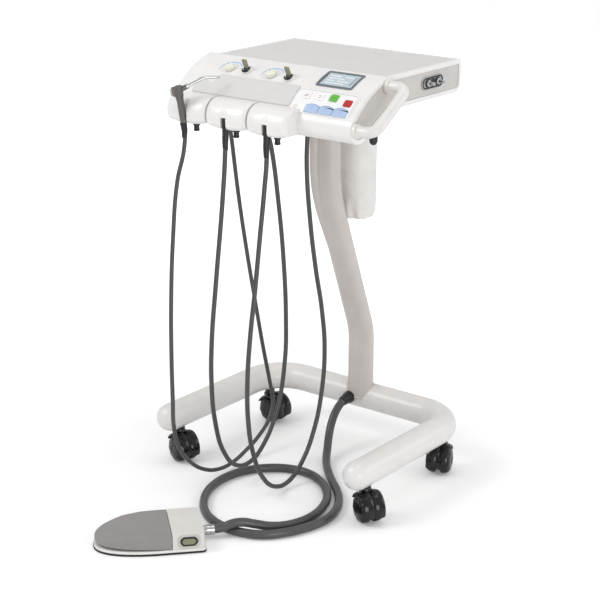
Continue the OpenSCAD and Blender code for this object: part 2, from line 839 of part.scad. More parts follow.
module key_panel() color(white) cart() difference() {
    union() {
        deck_plate(panel_at, eps, panel_t) rounded(panel_w, panel_h, 10);
        deck_plate(panel_at, -wall - 1, panel_t / 2) rounded(plug_w, plug_h, 6);
    }
    for (p = blue_at) deck_prism(p) blue_outline(key_gap);
    for (p = concat(white_at, [red_at, green_at])) deck_prism(p) square_outline(key_gap);
}

module key(at) deck_plate(at, -wall, key_h) children();

module key_blue(i) color("#9fb4d6") cart() key(blue_at[i]) blue_outline();
module key_red() color("#b3151a") cart() key(red_at) square_outline();
module key_green() color("#5fb53c") cart() key(green_at) square_outline();
module key_white(i) color("#e9e8e6") cart() key(white_at[i]) square_outline();

module knob(i) color("#e4e3d2") cart() on_deck(knob_at[i]) {
    translate([0, 0, 1]) cylinder(h = knob_h - 2, r = knob_d / 2);
    translate([0, 0, knob_h - 1]) cylinder(h = 1.5, r1 = knob_d / 2, r2 = knob_d / 2 - 1.5);
    translate([0, 0, 1 - spindle_l]) cylinder(h = spindle_l, r = spindle_d / 2);
}

module toggle_bases() color(dark) cart() for (p = toggle_at) difference() {
    deck_plate(p, eps, toggle_base_h) circle(toggle_d / 2);
    on_deck(p, -3) linear_extrude(20) square(lever_slot, center = true);
    on_deck(p, toggle_pivot_h) rotate([0, 90, 0])
        cylinder(h = toggle_d - 4, r = toggle_pin_d / 2 + run_gap, center = true);
}

module toggle(i) color(olive) cart() on_deck(toggle_at[i], toggle_pivot_h) {
    rotate([0, 90, 0]) cylinder(h = toggle_d - 5, r = toggle_pin_d / 2, center = true);
    rotate([0, 90, 0]) cylinder(h = lever_w, r = lever_hub_r, center = true);
    translate([-lever_w / 2, -lever_t / 2, 0]) cube([lever_w, lever_t, lever_l - lever_t / 2]);
    translate([0, 0, lever_l - lever_t / 2]) rotate([0, 90, 0])
        cylinder(h = lever_w, r = lever_t / 2, center = true);
}

// ---------------------------------------------------------------- instrument holders

function rounded_box(y0, y1, z0, z1, r_low, r_top) = concat(
    rounded_corner([y0 + r_low, z0 + r_low], r_low, 270, 180),
    rounded_corner([y0 + r_top, z1 - r_top], r_top, 180, 90),
    [[y1, z1], [y1, z0]]
);

// the console's side view and the keys' layer on it, which the holders keep clear of
module holder_seat() {
    console_outline(-eps);
    intersection() {
        translate(deck_c) circle(deck_r + key_h + free_gap, $fn = 180);
        deck_zone();
    }
}

module holder_block(x) {
    intersection() {
        across(x - holder_w / 2, x + holder_w / 2) difference() {
            polygon(rounded_box(
                holder_front, nose_c[0] - 4, nose_bottom + 1, holder_top, holder_low_r, holder_top_r
            ));
            holder_seat();
        }
        translate([x, holder_front + lobe_r, nose_bottom]) cylinder(h = holder_h, r = lobe_r, $fn = 180);
    }
}

module holder(i) color(white) cart() {
    x = holder_x[i];
    difference() {
        holder_block(x);
        for (s = [-1, 1]) translate([x + s * holder_w / 2, -far, nose_bottom])
            rotate([0, 45, 0]) cube([cleft_w, 2 * far, cleft_w], center = true);
        if (i == 0) syringe_slot(); else coupling_slot(x);
    }
}

module coupling_slot(x) {
    translate([x, coupling_y, nose_bottom - 1]) {
        cylinder(h = coupling_top - nose_bottom + 1, r = slot_r);
        translate([-slot_r, -20, 0]) cube([2 * slot_r, 20, coupling_top - nose_bottom - 2]);
    }
}

module at_syringe() {
    translate(syringe_foot) rotate([syringe_tilt, 0, 0]) children();
}

module syringe_slot() at_syringe() {
    translate([0, 0, -20]) cylinder(h = syringe_l, r = syringe_r + eps);
    translate([-syringe_r - eps, -30, -20]) cube([2 * (syringe_r + eps), 30, syringe_l]);
    translate([-syringe_r - 1, -30, syringe_l - 32]) cube([2 * syringe_r + 2, 40, 60]);
}

// ---------------------------------------------------------------- syringe

module at_head() {
    at_syringe() translate([0, 0, syringe_l - 5]) rotate(nozzle_yaw) children();
}

module at_nozzle() {
    at_head() rotate([0, 90 - nozzle_pitch, 0]) children();
}

module syringe_body() color("#6f6e6b") cart() difference() {
    union() {
        at_syringe() {
            cylinder(h = syringe_l - 26, r = syringe_r);
            translate([0, 0, syringe_l - 26]) cylinder(h = 12, r1 = syringe_r, r2 = head_r);
            translate([0, 0, syringe_l - 14]) cylinder(h = head_h, r = head_r);
        }
        at_head() translate([-head_r - 4, -button_r - 2, -head_h / 2 + 0.5])
            cube([head_r + 4, 2 * button_r + 4, head_h - 1]);
        at_nozzle() cylinder(h = chuck_l, r = nozzle_r + 3);
    }
    for (s = [-1, 1]) at_button(s) translate([0, 0, -button_travel - 1])
        cylinder(h = 20, r = button_r + run_gap);
    at_nozzle() translate([0, 0, chuck_l - 8]) cylinder(h = 20, r = nozzle_r + run_gap);
}

module at_button(s) {
    at_head() translate([-head_r + 3, 0, s * (button_r + 0.6)]) rotate([0, -90, 0]) children();
}

module syringe_button(s) color(shade) cart() at_button(s) {
    cylinder(h = 11, r = button_r);
}

module syringe_nozzle() color(chrome) cart() at_nozzle() {
    translate([0, 0, chuck_l - 7]) cylinder(h = nozzle_l - chuck_l + 7, r = nozzle_r);
    translate([0, 0, nozzle_l]) sphere(nozzle_r + eps);
    translate([0, 0, chuck_l + 0.3]) cylinder(h = 4, r = nozzle_r + 1.5);
    translate([nozzle_bend_r, 0, nozzle_l]) rotate([90, 0, 180])
        rotate_extrude(angle = nozzle_bend) translate([nozzle_bend_r, 0]) circle(nozzle_r);
    translate([nozzle_bend_r * (1 - cos(nozzle_bend)), 0, nozzle_l + nozzle_bend_r * sin(nozzle_bend)])
        rotate([0, nozzle_bend, 0]) {
            sphere(nozzle_r + eps);
            cylinder(h = nozzle_tip_l, r = nozzle_r);
        }
}

// ---------------------------------------------------------------- hoses

module hose_fittings() color(black) cart() {
    for (x = gland_x) translate([x, gland_y, gland_z])
        cylinder(h = console_bottom + wall - gland_z, r = gland_r);
    for (i = [1, 2]) translate([holder_x[i], coupling_y, coupling_bottom])
        cylinder(h = coupling_top - coupling_bottom - 0.3, r = coupling_r);
    for (x = holder_x) translate([x + 13, holder_front + 26, nose_bottom - 16])
        cylinder(h = 17, r = 5.5);
    translate([foot_gland_x, foot_gland_y, base_z]) rotate([-90, 0, 0]) {
        cylinder(h = 4, r = foot_r + 5);
        cylinder(h = foot_gland_l, r = foot_gland_r - eps);
    }
    at_pedal() translate([-fitting_l, 0, fitting_z]) rotate([0, 90, 0])
        cylinder(h = fitting_l + 5, r = foot_r - 1);
}

module hose_left() color(dark) cart() sweep(left_route, hose_d - 0.8, hose_sides);
module hose_middle() color(dark) cart() sweep(middle_route, hose_d, hose_sides);
module hose_right() color(dark) cart() sweep(right_route, hose_d, hose_sides);

module foot_hose_run() color(dark) cart() {
    sweep(foot_route, foot_hose_d, foot_hose_sides);
    at_pedal() translate([-fitting_l - tail_run, 0, fitting_z]) rotate([0, 90, 0])
        cylinder(h = tail_run, r = foot_r);
}

module foot_hose_coil() color(dark) cart()
    translate([loop_at[0], loop_at[1], 0]) rotate(loop_heading)
        linear_extrude(foot_hose_d) difference() {
            obround(loop_l, loop_w);
            obround(loop_l - 4 * foot_hose_d, loop_w - 4 * foot_hose_d);
        }

// ---------------------------------------------------------------- water, air and inner works

module bottle_shape(inset) rotate_extrude() {
    r = bottle_r - inset;
    z0 = bottle_bottom + inset;
    z2 = bottle_bottom + bottle_l;
    polygon(concat(
        [[0, z0], [bottle_r * 0.62, z0], [bottle_r * 0.8 - inset, z0 + 8], [r, bottle_bottom + 38]],
        [for (a = [0:10:70]) [
            neck_r - inset + (bottle_r - neck_r) * (1 + cos(2.57 * a)) / 2, z2 + shoulder_h * a / 70,
        ]],
        [[neck_r - inset, bottle_top + inset * 2], [0, bottle_top + inset * 2]]
    ));
}

module water_bottle() color([0.9, 0.92, 0.93, 0.6]) cart()
    translate([bottle_at[0], bottle_at[1], 0]) difference() {
        bottle_shape(0);
        bottle_shape(1.5);
    }

module bottle_manifold() color(black) cart()
    translate([bottle_at[0], bottle_at[1], 0]) {
        difference() {
            union() {
                translate([0, 0, bottle_top - neck_h + 3])
                    cylinder(h = neck_h, r = cap_r);
                translate([0, 0, bottle_top + 2])
                    cylinder(h = console_bottom - bottle_top - 2, r = cap_r + 5);
                translate([0, 0, console_bottom - 1]) cylinder(h = wall + 5, r = neck_r - 6.3);
            }
            translate([0, 0, bottle_top - neck_h]) cylinder(h = neck_h + 1, r = neck_r + 0.3);
            translate([0, 0, bottle_top]) cylinder(h = far, r = 2);
        }
        translate([0, 0, bottle_bottom + 24])
            cylinder(h = bottle_top + 1 - bottle_bottom - 24, r = 3);
    }

module air_filter() color(black) cart() translate([filter_at[0], filter_at[1], 0]) {
    translate([0, 0, console_bottom - filter_l + filter_d / 2])
        cylinder(h = filter_l - filter_d / 2, r = filter_d / 2);
    translate([0, 0, console_bottom - filter_l + filter_d / 2]) sphere(filter_d / 2);
    translate([0, 0, console_bottom - 10]) cylinder(h = 10, r = filter_d / 2 + 5);
    translate([0, 0, console_bottom - 1]) cylinder(h = 14, r = 4);
}

module port_plate() color(chrome) cart() translate([half_w, port_at[0], port_at[1]]) {
    rotate([90, 0, 90]) linear_extrude(2) obround(port_plate_w, port_plate_h);
    for (s = [-1, 1]) translate([0, s * port_pitch / 2, 0]) rotate([0, 90, 0]) {
        cylinder(h = 6, r = port_d / 2 + 3);
        cylinder(h = 6 + port_l, r = port_d / 2);
    }
}

module control_board() color("#2f6b3c") cart() translate([board_at[0], board_at[1], inner_floor]) {
    face = post_h + board_t;
    translate([0, 0, post_h]) cube([board_w, board_d, board_t]);
    for (x = [post_inset, board_w - post_inset], y = [post_inset, board_d - post_inset])
        translate([x, y, 0]) cylinder(h = post_h, r = 3.5);
    for (i = [0:2]) translate([20 + i * chip_pitch, 30, face]) cube([chip_w, chip_d, 6]);
    translate([40, board_d - chip_w, face]) cube([50, 10, 9]);
}

module air_manifold() color("#b8bcc0") cart()
    translate([manifold_at[0], manifold_at[1], inner_floor]) {
        cube([manifold_w, manifold_d, manifold_h]);
        for (i = [-1:1]) translate([manifold_w / 2 + i * valve_pitch, manifold_d / 2, manifold_h])
            cylinder(h = valve_h, r = valve_r);
        for (s = [-1, 1]) translate([manifold_w / 2 + s * valve_pitch, manifold_d, manifold_h / 2])
            rotate([-90, 0, 0]) cylinder(h = 12, r = 5);
    }

// ---------------------------------------------------------------- foot control

module at_pedal() {
    translate([pedal_tail_at[0], pedal_tail_at[1], 0]) rotate(pedal_heading) children();
}

module pedal_sole() color(black) cart() at_pedal() linear_extrude(sole_t)
    polygon(pedal_outline(0));

module pedal_base() color(white) cart() at_pedal() {
    translate([0, 0, sole_t]) linear_extrude(plate_t) polygon(pedal_outline(1));
    for (s = [-1, 1]) translate([hinge_u, s * (pedal_r - 18), 0]) difference() {
        translate([-ear_back, -ear_t / 2, plate_top - 1])
            cube([2 * ear_back + 1, ear_t, hinge_z + ear_back + 1 - plate_top + 1]);
        translate([0, 0, hinge_z]) rotate([90, 0, 0])
            cylinder(h = 2 * ear_t, r = treadle_pin_d / 2 + run_gap, center = true);
    }
}

module pedal_tail() color("#d5d2ce") cart() at_pedal() difference() {
    intersection() {
        translate([0, 0, plate_top]) linear_extrude(pedal_h - plate_top)
            polygon(pedal_outline(skin_inset));
        translate([-1, -pedal_w, 0]) cube([tail_l + 1, 2 * pedal_w, 2 * pedal_h]);
    }
    translate([0, 0, plate_top - 1]) linear_extrude(pedal_h - plate_top + 1 - wall)
        intersection() {
            polygon(pedal_outline(skin_inset + wall));
            translate([-1, -pedal_w]) square([tail_l + 1 - wall, 2 * pedal_w]);
        }
    button_prism(free_gap, 20);
    translate([-1, 0, fitting_z]) rotate([0, 90, 0]) cylinder(h = 20, r = foot_r - 1 + eps);
}

module button_prism(gap, depth) {
    translate([button_u, pedal_r - skin_inset + button_out, button_z]) rotate([90, 0, 0])
        linear_extrude(depth) obround(26 + 2 * gap, 12 + 2 * gap);
}

module pedal_button() color(olive) cart() at_pedal() button_prism(0, 8);

// side view of the treadle: [along, height]
function treadle_profile(inset) =
    let (u0 = tail_l + 0.8 + inset, u1 = pedal_l, z0 = plate_top + 0.8, z1 = pedal_h - inset)
    [
        [u0, inset > 0 ? 0 : z0], [u0, z1], [u0 + 50, z1], [u0 + 90, z1 - 3],
        [u1 - 22, z1 - 11], [u1, z1 - 17], [u1, inset > 0 ? 0 : z0 + treadle_drop + 0.8],
    ];

module treadle_shape(inset) intersection() {
    linear_extrude(2 * pedal_h) polygon(pedal_outline(skin_inset + inset));
    translate([0, pedal_w, 0]) rotate([90, 0, 0]) linear_extrude(2 * pedal_w)
        polygon(treadle_profile(inset));
}

module pedal_treadle() color("#969390") cart() at_pedal() {
    difference() {
        treadle_shape(0);
        treadle_shape(wall);
    }
    translate([hinge_u, 0, hinge_z]) rotate([90, 0, 0])
        cylinder(h = pedal_w - 2 * skin_inset - 2, r = treadle_pin_d / 2, center = true);
}

// ---------------------------------------------------------------- the assembly

base_frame();
column();
column_cover();
head_bracket();
castor_fork(0);  // castor_fork_1
castor_fork(1);  // castor_fork_2
castor_fork(2);  // castor_fork_3
castor_fork(3);  // castor_fork_4
castor_wheels(0);  // castor_wheels_1
castor_wheels(1);  // castor_wheels_2
castor_wheels(2);  // castor_wheels_3
castor_wheels(3);  // castor_wheels_4
console_pan();
console_tray();
tray_inlay();
deck();
nose();
side_panel_left();
side_panel_right();
work_pad();
handle();
display_bezel();
display_glass();
key_panel();
key_blue(0);  // key_blue_1
key_blue(1);  // key_blue_2
key_blue(2);  // key_blue_3
key_red();
key_green();
key_white(0);  // key_white_1
key_white(1);  // key_white_2
knob(0);  // knob_left
knob(1);  // knob_right
toggle_bases();
toggle(0);  // toggle_left
toggle(1);  // toggle_right
holder(0);  // holder_left
holder(1);  // holder_middle
holder(2);  // holder_right
hose_fittings();
syringe_body();
syringe_nozzle();
syringe_button(1);  // syringe_button_air
syringe_button(-1);  // syringe_button_water
hose_left();
hose_middle();
hose_right();
water_bottle();
bottle_manifold();
air_filter();
port_plate();
control_board();
air_manifold();
foot_hose_run();
foot_hose_coil();
pedal_sole();
pedal_base();
pedal_tail();
pedal_treadle();
pedal_button();
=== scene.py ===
import json
import math

import bmesh
import bpy
from mathutils import Matrix, Vector
from mathutils.geometry import interpolate_bezier


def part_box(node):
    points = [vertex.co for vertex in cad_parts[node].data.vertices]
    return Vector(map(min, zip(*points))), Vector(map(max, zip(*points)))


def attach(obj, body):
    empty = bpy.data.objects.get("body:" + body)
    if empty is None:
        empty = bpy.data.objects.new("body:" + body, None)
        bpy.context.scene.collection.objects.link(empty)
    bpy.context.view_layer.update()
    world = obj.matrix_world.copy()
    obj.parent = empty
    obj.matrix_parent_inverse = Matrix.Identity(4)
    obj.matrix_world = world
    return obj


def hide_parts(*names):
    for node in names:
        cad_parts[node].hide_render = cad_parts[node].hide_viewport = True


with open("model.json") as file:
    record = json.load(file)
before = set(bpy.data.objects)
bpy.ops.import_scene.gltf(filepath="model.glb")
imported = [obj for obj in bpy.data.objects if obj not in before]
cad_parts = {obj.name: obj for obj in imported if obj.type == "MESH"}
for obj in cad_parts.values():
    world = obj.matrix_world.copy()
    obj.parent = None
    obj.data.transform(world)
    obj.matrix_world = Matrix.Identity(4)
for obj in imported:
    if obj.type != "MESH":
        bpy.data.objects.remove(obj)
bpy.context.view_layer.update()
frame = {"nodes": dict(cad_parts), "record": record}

# Lengths are in millimetres in the cart's own frame, as in part.scad, until place() or TO_FRAME
# turns them into metres in the shared frame. The cords' lengths, the floor and Blender's own
# settings are in metres.
BASE_REAR = 215.0
BASE_LOW, BASE_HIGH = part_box("base_frame")
CART_AT = ((BASE_LOW.x + BASE_HIGH.x) / 2, BASE_HIGH.y - BASE_REAR / 1000, 0)
TO_FRAME = Matrix.Translation(CART_AT) @ Matrix.Scale(0.001, 4)
SCENE = bpy.context.scene
BODY_OF = {node: body for body, nodes in frame["record"]["behaviour"]["bodies"].items() for node in nodes}
SLOT_OF = {part["node"]: part["material_slot"] for part in frame["record"]["subparts"]}


def place(x, y, z):
    """A point in millimetres in the cart's frame, as metres in the shared frame."""
    return TO_FRAME @ Vector((x, y, z))


# ---------------------------------------------------------------- camera

CAMERA_AT = (1998.7, -2643.1, 1458.8)
CAMERA_AZIMUTH = math.radians(37.62)
CAMERA_ELEVATION = math.radians(18.12)
CAMERA_ROLL = math.radians(0.18)
CAMERA_LENS = 98.75
CAMERA_SENSOR = 36
CAMERA_FAR_CLIP = 60


def make_camera():
    data = bpy.data.cameras.new("camera")
    data.lens = CAMERA_LENS
    data.sensor_width = CAMERA_SENSOR
    data.clip_end = CAMERA_FAR_CLIP
    camera = bpy.data.objects.new("camera", data)
    back = Vector((
        math.sin(CAMERA_AZIMUTH) * math.cos(CAMERA_ELEVATION),
        -math.cos(CAMERA_AZIMUTH) * math.cos(CAMERA_ELEVATION),
        math.sin(CAMERA_ELEVATION),
    ))
    turn = (-back).to_track_quat("-Z", "Y").to_matrix().to_4x4()
    roll = Matrix.Rotation(CAMERA_ROLL, 4, "Z")
    camera.matrix_world = Matrix.Translation(place(*CAMERA_AT)) @ turn @ roll
    SCENE.collection.objects.link(camera)
    SCENE.camera = camera


make_camera()

# ---------------------------------------------------------------- swept bars


def add_skin(bm, rings):
    """Adds an open-ended skin over rings of equal point counts, and returns their corners."""
    rows = [[bm.verts.new(p) for p in ring] for ring in rings]
    count = len(rows[0])
    for a, b in zip(rows, rows[1:]):
        for i in range(count):
            j = (i + 1) % count
            bm.faces.new((a[i], a[j], b[j], b[i]))
    return rows


def add_rings(bm, rings):
    """Adds a skin over rings of equal point counts, with flat ends."""
    rows = add_skin(bm, rings)
    bm.faces.new(rows[0])
    bm.faces.new(list(reversed(rows[-1])))


def add_sweep(bm, path, radius, steps):
    """Adds a round bar along a path; the radius is one number or one for each point."""
    rings = []
    for i, here in enumerate(path):
        before, after = Vector(path[max(i - 1, 0)]), Vector(path[min(i + 1, len(path) - 1)])
        along = (after - before).normalized()
        side = along.orthogonal() if i == 0 else side - along * side.dot(along)
        side = side.normalized()
        up = along.cross(side)
        r = radius[i] if isinstance(radius, (list, tuple)) else radius
        turns = [2 * math.pi * k / steps for k in range(steps)]
        rings.append([Vector(here) + r * (side * math.cos(a) + up * math.sin(a)) for a in turns])
    add_rings(bm, rings)


# ---------------------------------------------------------------- cords

HOSE_D = 9.6
THIN_HOSE_D = 8.8
HANDLE = 0.39
LINE_STEPS = 8
HOSE_SIDES = 20
FOOT_HOSE_D = 18.0

LEFT_ROUTE = [
    (-172, -212, 770), (-172, -208, 752), (-172, -212, 712), (-171, -234, 655),
    (-167, -256, 535), (-160, -273, 415), (-150, -287, 295), (-140, -297, 205),
    (-132, -304, 148), (-126, -297, 104), (-121, -268, 62), (-118, -224, 30),
    (-119, -172, 14), (-123, -122, 13), (-126, -80, 22), (-129, -30, 40),
    (-133, 14, 70), (-137, 30, 105), (-140, 23, 150), (-146, 6, 240),
    (-152, -12, 345), (-156, -30, 442), (-159, -55, 580), (-160, -74, 700),
    (-160, -82, 752), (-160, -82, 786),
]
MIDDLE_ROUTE = [
    (-68, -206, 753), (-68, -206, 725), (-68, -214, 640), (-67, -241, 455),
    (-65, -258, 342), (-64, -262, 250), (-62, -255, 165), (-61, -228, 85),
    (-60, -190, 44), (-60, -145, 36), (-61, -100, 58), (-62, -50, 125),
    (-62, -22, 230), (-63, -17, 325), (-64, -24, 457), (-64, -42, 591),
    (-64, -64, 705), (-64, -80, 755), (-64, -82, 786),
]
RIGHT_ROUTE = [
    (36, -206, 753), (36, -204, 728), (36, -212, 660), (36, -226, 570),
    (36, -242, 465), (36, -259, 365), (36, -268, 275), (36, -266, 190),
    (36, -252, 120), (36, -222, 55), (36, -180, 18), (36, -132, 14),
    (38, -88, 46), (39, -50, 104), (40, -26, 180), (41, -17, 276),
    (42, -29, 369), (43, -52, 462), (44, -74, 574), (44, -86, 690),
    (44, -84, 750), (44, -82, 786),
]
# The drop, one turn on the floor, then a second pass inside it that crosses over to the pedal.
FOOT_ROUTE = [
    (-15, 149, 104), (-15, 128, 101), (-15, 104, 87), (-12, 82, 64), (-4, 62, 43),
    (10, 38, 25), (34, 2, 12), (70, -38, 9.3), (106, -72, 9.3), (142, -104, 9.3), (174, -142, 9.3),
    (194, -180, 9.3), (203, -220, 9.3), (201, -255, 9.3), (191, -290, 9.3), (174, -325, 9.3),
    (148, -356, 9.3), (112, -374, 9.3), (70, -378, 9.3), (22, -367, 9.3), (-15, -345, 9.3),
    (-44, -315, 9.3), (-68, -278, 9.3), (-84, -232, 9.3), (-87, -184, 9.3), (-74, -135, 9.3),
    (-46, -98, 9.3), (-8, -74, 9.3), (36, -68, 9.3), (78, -82, 9.3), (114, -108, 9.3), (142, -140, 9.3),
    (162, -180, 9.3), (172, -222, 9.3), (170, -262, 9.3), (157, -298, 10), (139, -328, 14.5),
    (121, -351, 22.5), (104, -370, 28.4), (91, -384, 27), (76.5, -398.8, 19.5), (61.7, -415.1, 17),
]

PEDAL_AT = (51, -427)
PEDAL_HEADING = math.radians(227.8)
FITTING_L = 16
FITTING_Z = 17


def smooth_line(points):
    """Points along a smooth curve through the given ones."""
    knots = [Vector(p) for p in points]
    ways = []
    for before, here, after in zip(knots[:1] + knots, knots, knots[1:] + knots[-1:]):
        ways.append(((after - here).normalized() + (here - before).normalized()).normalized())
    line = knots[:1]
    for a, b, way_a, way_b in zip(knots, knots[1:], ways, ways[1:]):
        reach = HANDLE * (b - a).length
        line += interpolate_bezier(a, a + way_a * reach, b - way_b * reach, b, LINE_STEPS + 1)[1:]
    return line


def make_cord(name, route, diameter, length, slot, nodes, **facts):
    """A hose as a round tube along its route; the real length it is given is not used."""
    line = [place(*point) for point in smooth_line(route)]
    bm = bmesh.new()
    add_sweep(bm, line, diameter / 2000, HOSE_SIDES)
    bmesh.ops.recalc_face_normals(bm, faces=bm.faces)
    mesh = bpy.data.meshes.new(name)
    bm.to_mesh(mesh)
    bm.free()
    hose = bpy.data.objects.new(name, mesh)
    SCENE.collection.objects.link(hose)
    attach(hose, "cart")
    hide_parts(*nodes)
    return hose


HOSES = [
    make_cord("tube_left", LEFT_ROUTE, THIN_HOSE_D, 1.77, "hose_rubber", ["hose_left"], lay="hanging"),
    make_cord("tube_middle", MIDDLE_ROUTE, HOSE_D, 1.59, "hose_rubber", ["hose_middle"], lay="hanging"),
    make_cord("tube_right", RIGHT_ROUTE, HOSE_D, 1.64, "hose_rubber", ["hose_right"], lay="hanging"),
]
FOOT_HOSE = make_cord(
    "tube_foot", FOOT_ROUTE, FOOT_HOSE_D, 1.63, "foot_hose_rubber",
    ["foot_hose_run", "foot_hose_coil"], stiffness="stiff", lay="coiled",
)

# ---------------------------------------------------------------- materials

COAT_ROUGHNESS = 0.08
SUBSURFACE_RADIUS = (0.004, 0.004, 0.004)
MOTTLE_DETAIL = 4
GRAIN_DETAIL = 3
GRAIN_DEPTH = 0.0002
LEAST_ROUGHNESS = 0.02


def link(tree, source, target):
    tree.links.new(source, target)


def finish(
    name, colour, roughness, metallic=0.0, mottle=0.03, mottle_size=40, grain=0.0, grain_size=1.2,
    rough_spread=0.06, streaks=None, coat=0.0, subsurface=0.0, specular=0.5,
):
    """A procedural finish: broad colour variation, fine grain as bump and uneven gloss."""
    material = bpy.data.materials.new(name)
    material.use_nodes = True
    tree = material.node_tree
    shader = tree.nodes["Principled BSDF"]
    shader.inputs["Metallic"].default_value = metallic
    shader.inputs["Coat Weight"].default_value = coat
    shader.inputs["Coat Roughness"].default_value = COAT_ROUGHNESS
    shader.inputs["Specular IOR Level"].default_value = specular
    shader.inputs["Subsurface Weight"].default_value = subsurface
    shader.inputs["Subsurface Radius"].default_value = SUBSURFACE_RADIUS
    where = tree.nodes.new("ShaderNodeTexCoord")

    broad = tree.nodes.new("ShaderNodeTexNoise")
    broad.inputs["Scale"].default_value = 1000 / mottle_size
    broad.inputs["Detail"].default_value = MOTTLE_DETAIL
    link(tree, where.outputs["Object"], broad.inputs["Vector"])
    ramp = tree.nodes.new("ShaderNodeValToRGB")
    low = [max(0.0, c * (1 - mottle)) for c in colour]
    high = [min(1.0, c * (1 + mottle)) for c in colour]
    ramp.color_ramp.elements[0].position = 0.3
    ramp.color_ramp.elements[0].color = (*low, 1)
    ramp.color_ramp.elements[1].position = 0.7
    ramp.color_ramp.elements[1].color = (*high, 1)
    link(tree, broad.outputs["Fac"], ramp.inputs["Fac"])
    link(tree, ramp.outputs["Color"], shader.inputs["Base Color"])

    fine = tree.nodes.new("ShaderNodeTexNoise")
    fine.inputs["Scale"].default_value = 1000 / grain_size
    fine.inputs["Detail"].default_value = GRAIN_DETAIL
    if streaks:
        stretch = tree.nodes.new("ShaderNodeMapping")
        stretch.inputs["Scale"].default_value = streaks
        link(tree, where.outputs["Object"], stretch.inputs["Vector"])
        link(tree, stretch.outputs["Vector"], fine.inputs["Vector"])
    else:
        link(tree, where.outputs["Object"], fine.inputs["Vector"])
    gloss = tree.nodes.new("ShaderNodeMapRange")
    gloss.inputs["To Min"].default_value = max(LEAST_ROUGHNESS, roughness - rough_spread)
    gloss.inputs["To Max"].default_value = min(1.0, roughness + rough_spread)
    link(tree, fine.outputs["Fac"], gloss.inputs["Value"])
    link(tree, gloss.outputs["Result"], shader.inputs["Roughness"])
    if grain:
        bump = tree.nodes.new("ShaderNodeBump")
        bump.inputs["Strength"].default_value = grain
        bump.inputs["Distance"].default_value = GRAIN_DEPTH
        link(tree, fine.outputs["Fac"], bump.inputs["Height"])
        link(tree, bump.outputs["Normal"], shader.inputs["Normal"])
    return material


def srgb(value):
    """A colour written as six hex digits, as linear numbers."""
    parts = [int(value[i:i + 2], 16) / 255 for i in (0, 2, 4)]
    return [p / 12.92 if p <= 0.04045 else ((p + 0.055) / 1.055) ** 2.4 for p in parts]


FINISHES = {
    "white_enamel": dict(colour=srgb("dedbd8"), roughness=0.32, grain=0.12, grain_size=2.2, coat=0.25),
    "grey_enamel": dict(colour=srgb("c6c0bc"), roughness=0.38, grain=0.15, grain_size=2.0, coat=0.15),
    "white_shell": dict(colour=srgb("e7e5e3"), roughness=0.33, grain=0.06, grain_size=1.0, coat=0.2),
    "grey_shell": dict(colour=srgb("c3bfbc"), roughness=0.5, grain=0.25, grain_size=0.7),
    "pad": dict(colour=srgb("d3d1cf"), roughness=0.62, grain=0.3, grain_size=0.8, mottle=0.02),
    "castor_black": dict(
        colour=srgb("060606"), roughness=0.16, mottle=0.1, coat=0.3, specular=0.35, grain=0.02),
    "wheel_grey": dict(
        colour=srgb("090909"), roughness=0.22, mottle=0.12, mottle_size=12, coat=0.2, specular=0.3),
    "bezel_dark": dict(colour=srgb("5b646d"), roughness=0.28, coat=0.4, grain=0.04),
    "lcd_glass": dict(colour=srgb("b9c8d0"), roughness=0.12, coat=1.0, mottle=0.015, rough_spread=0.02),
    "panel_film": dict(colour=srgb("eeeded"), roughness=0.42, grain=0.1, grain_size=0.5, mottle=0.015),
    "blue_key": dict(colour=srgb("a9bfdd"), roughness=0.4, grain=0.12, grain_size=0.6),
    "red_key": dict(colour=srgb("b8191f"), roughness=0.38, grain=0.12, grain_size=0.6),
    "green_key": dict(colour=srgb("5fb53c"), roughness=0.38, grain=0.12, grain_size=0.6),
    "white_key": dict(colour=srgb("f1f0ee"), roughness=0.4, grain=0.12, grain_size=0.6),
    "cream_knob": dict(colour=srgb("e6e5d6"), roughness=0.3, coat=0.2, grain=0.05),
    "olive_plastic": dict(colour=srgb("84836b"), roughness=0.42, grain=0.15, grain_size=0.6),
    "dark_plastic": dict(colour=srgb("191919"), roughness=0.35, mottle=0.1, grain=0.1, grain_size=0.7),
    "hose_rubber": dict(colour=srgb("444443"), roughness=0.34, mottle=0.08, mottle_size=15, grain=0.1),
    "foot_hose_rubber": dict(colour=srgb("4b4b4a"), roughness=0.3, mottle=0.08, mottle_size=20, grain=0.12),
    "syringe_metal": dict(
        colour=srgb("6a6764"), roughness=0.36, metallic=0.7, streaks=(1, 1, 0.04), grain=0.1,
        grain_size=0.6),
    "bright_metal": dict(
        colour=srgb("c2c3c4"), roughness=0.16, metallic=1.0, rough_spread=0.05, mottle=0.04),
    "button_grey": dict(colour=srgb("bdbdbb"), roughness=0.4, grain=0.1, grain_size=0.5),
    "bottle_plastic": dict(
        colour=srgb("e2dfdc"), roughness=0.38, grain=0.1, grain_size=6, subsurface=0.25, mottle=0.04,
        mottle_size=30),
    "board_green": dict(colour=srgb("2f6b3c"), roughness=0.4, mottle=0.1, mottle_size=6, grain=0.1),
    "manifold_metal": dict(
        colour=srgb("b8bcc0"), roughness=0.32, metallic=0.9, streaks=(0.05, 1, 1), grain=0.1,
        grain_size=0.5),
    "sole_rubber": dict(colour=srgb("171717"), roughness=0.6, mottle=0.12, grain=0.3, grain_size=1.2),
    "pedal_white": dict(colour=srgb("e9e8e5"), roughness=0.4, grain=0.15, grain_size=0.8),
    "pedal_light": dict(colour=srgb("d9d6d2"), roughness=0.5, grain=0.35, grain_size=0.7),
    "pedal_grey": dict(colour=srgb("8e8b89"), roughness=0.52, grain=0.4, grain_size=0.7),
}
MATERIALS = {name: finish(name, **facts) for name, facts in FINISHES.items()}
PRINT_COLOURS = {
    "blue": "93a9cf", "grey": "8f8f92", "red": "b4545a", "dark": "4a4a4d", "olive": "a9a97c",
    "sky": "aac4e2",
}
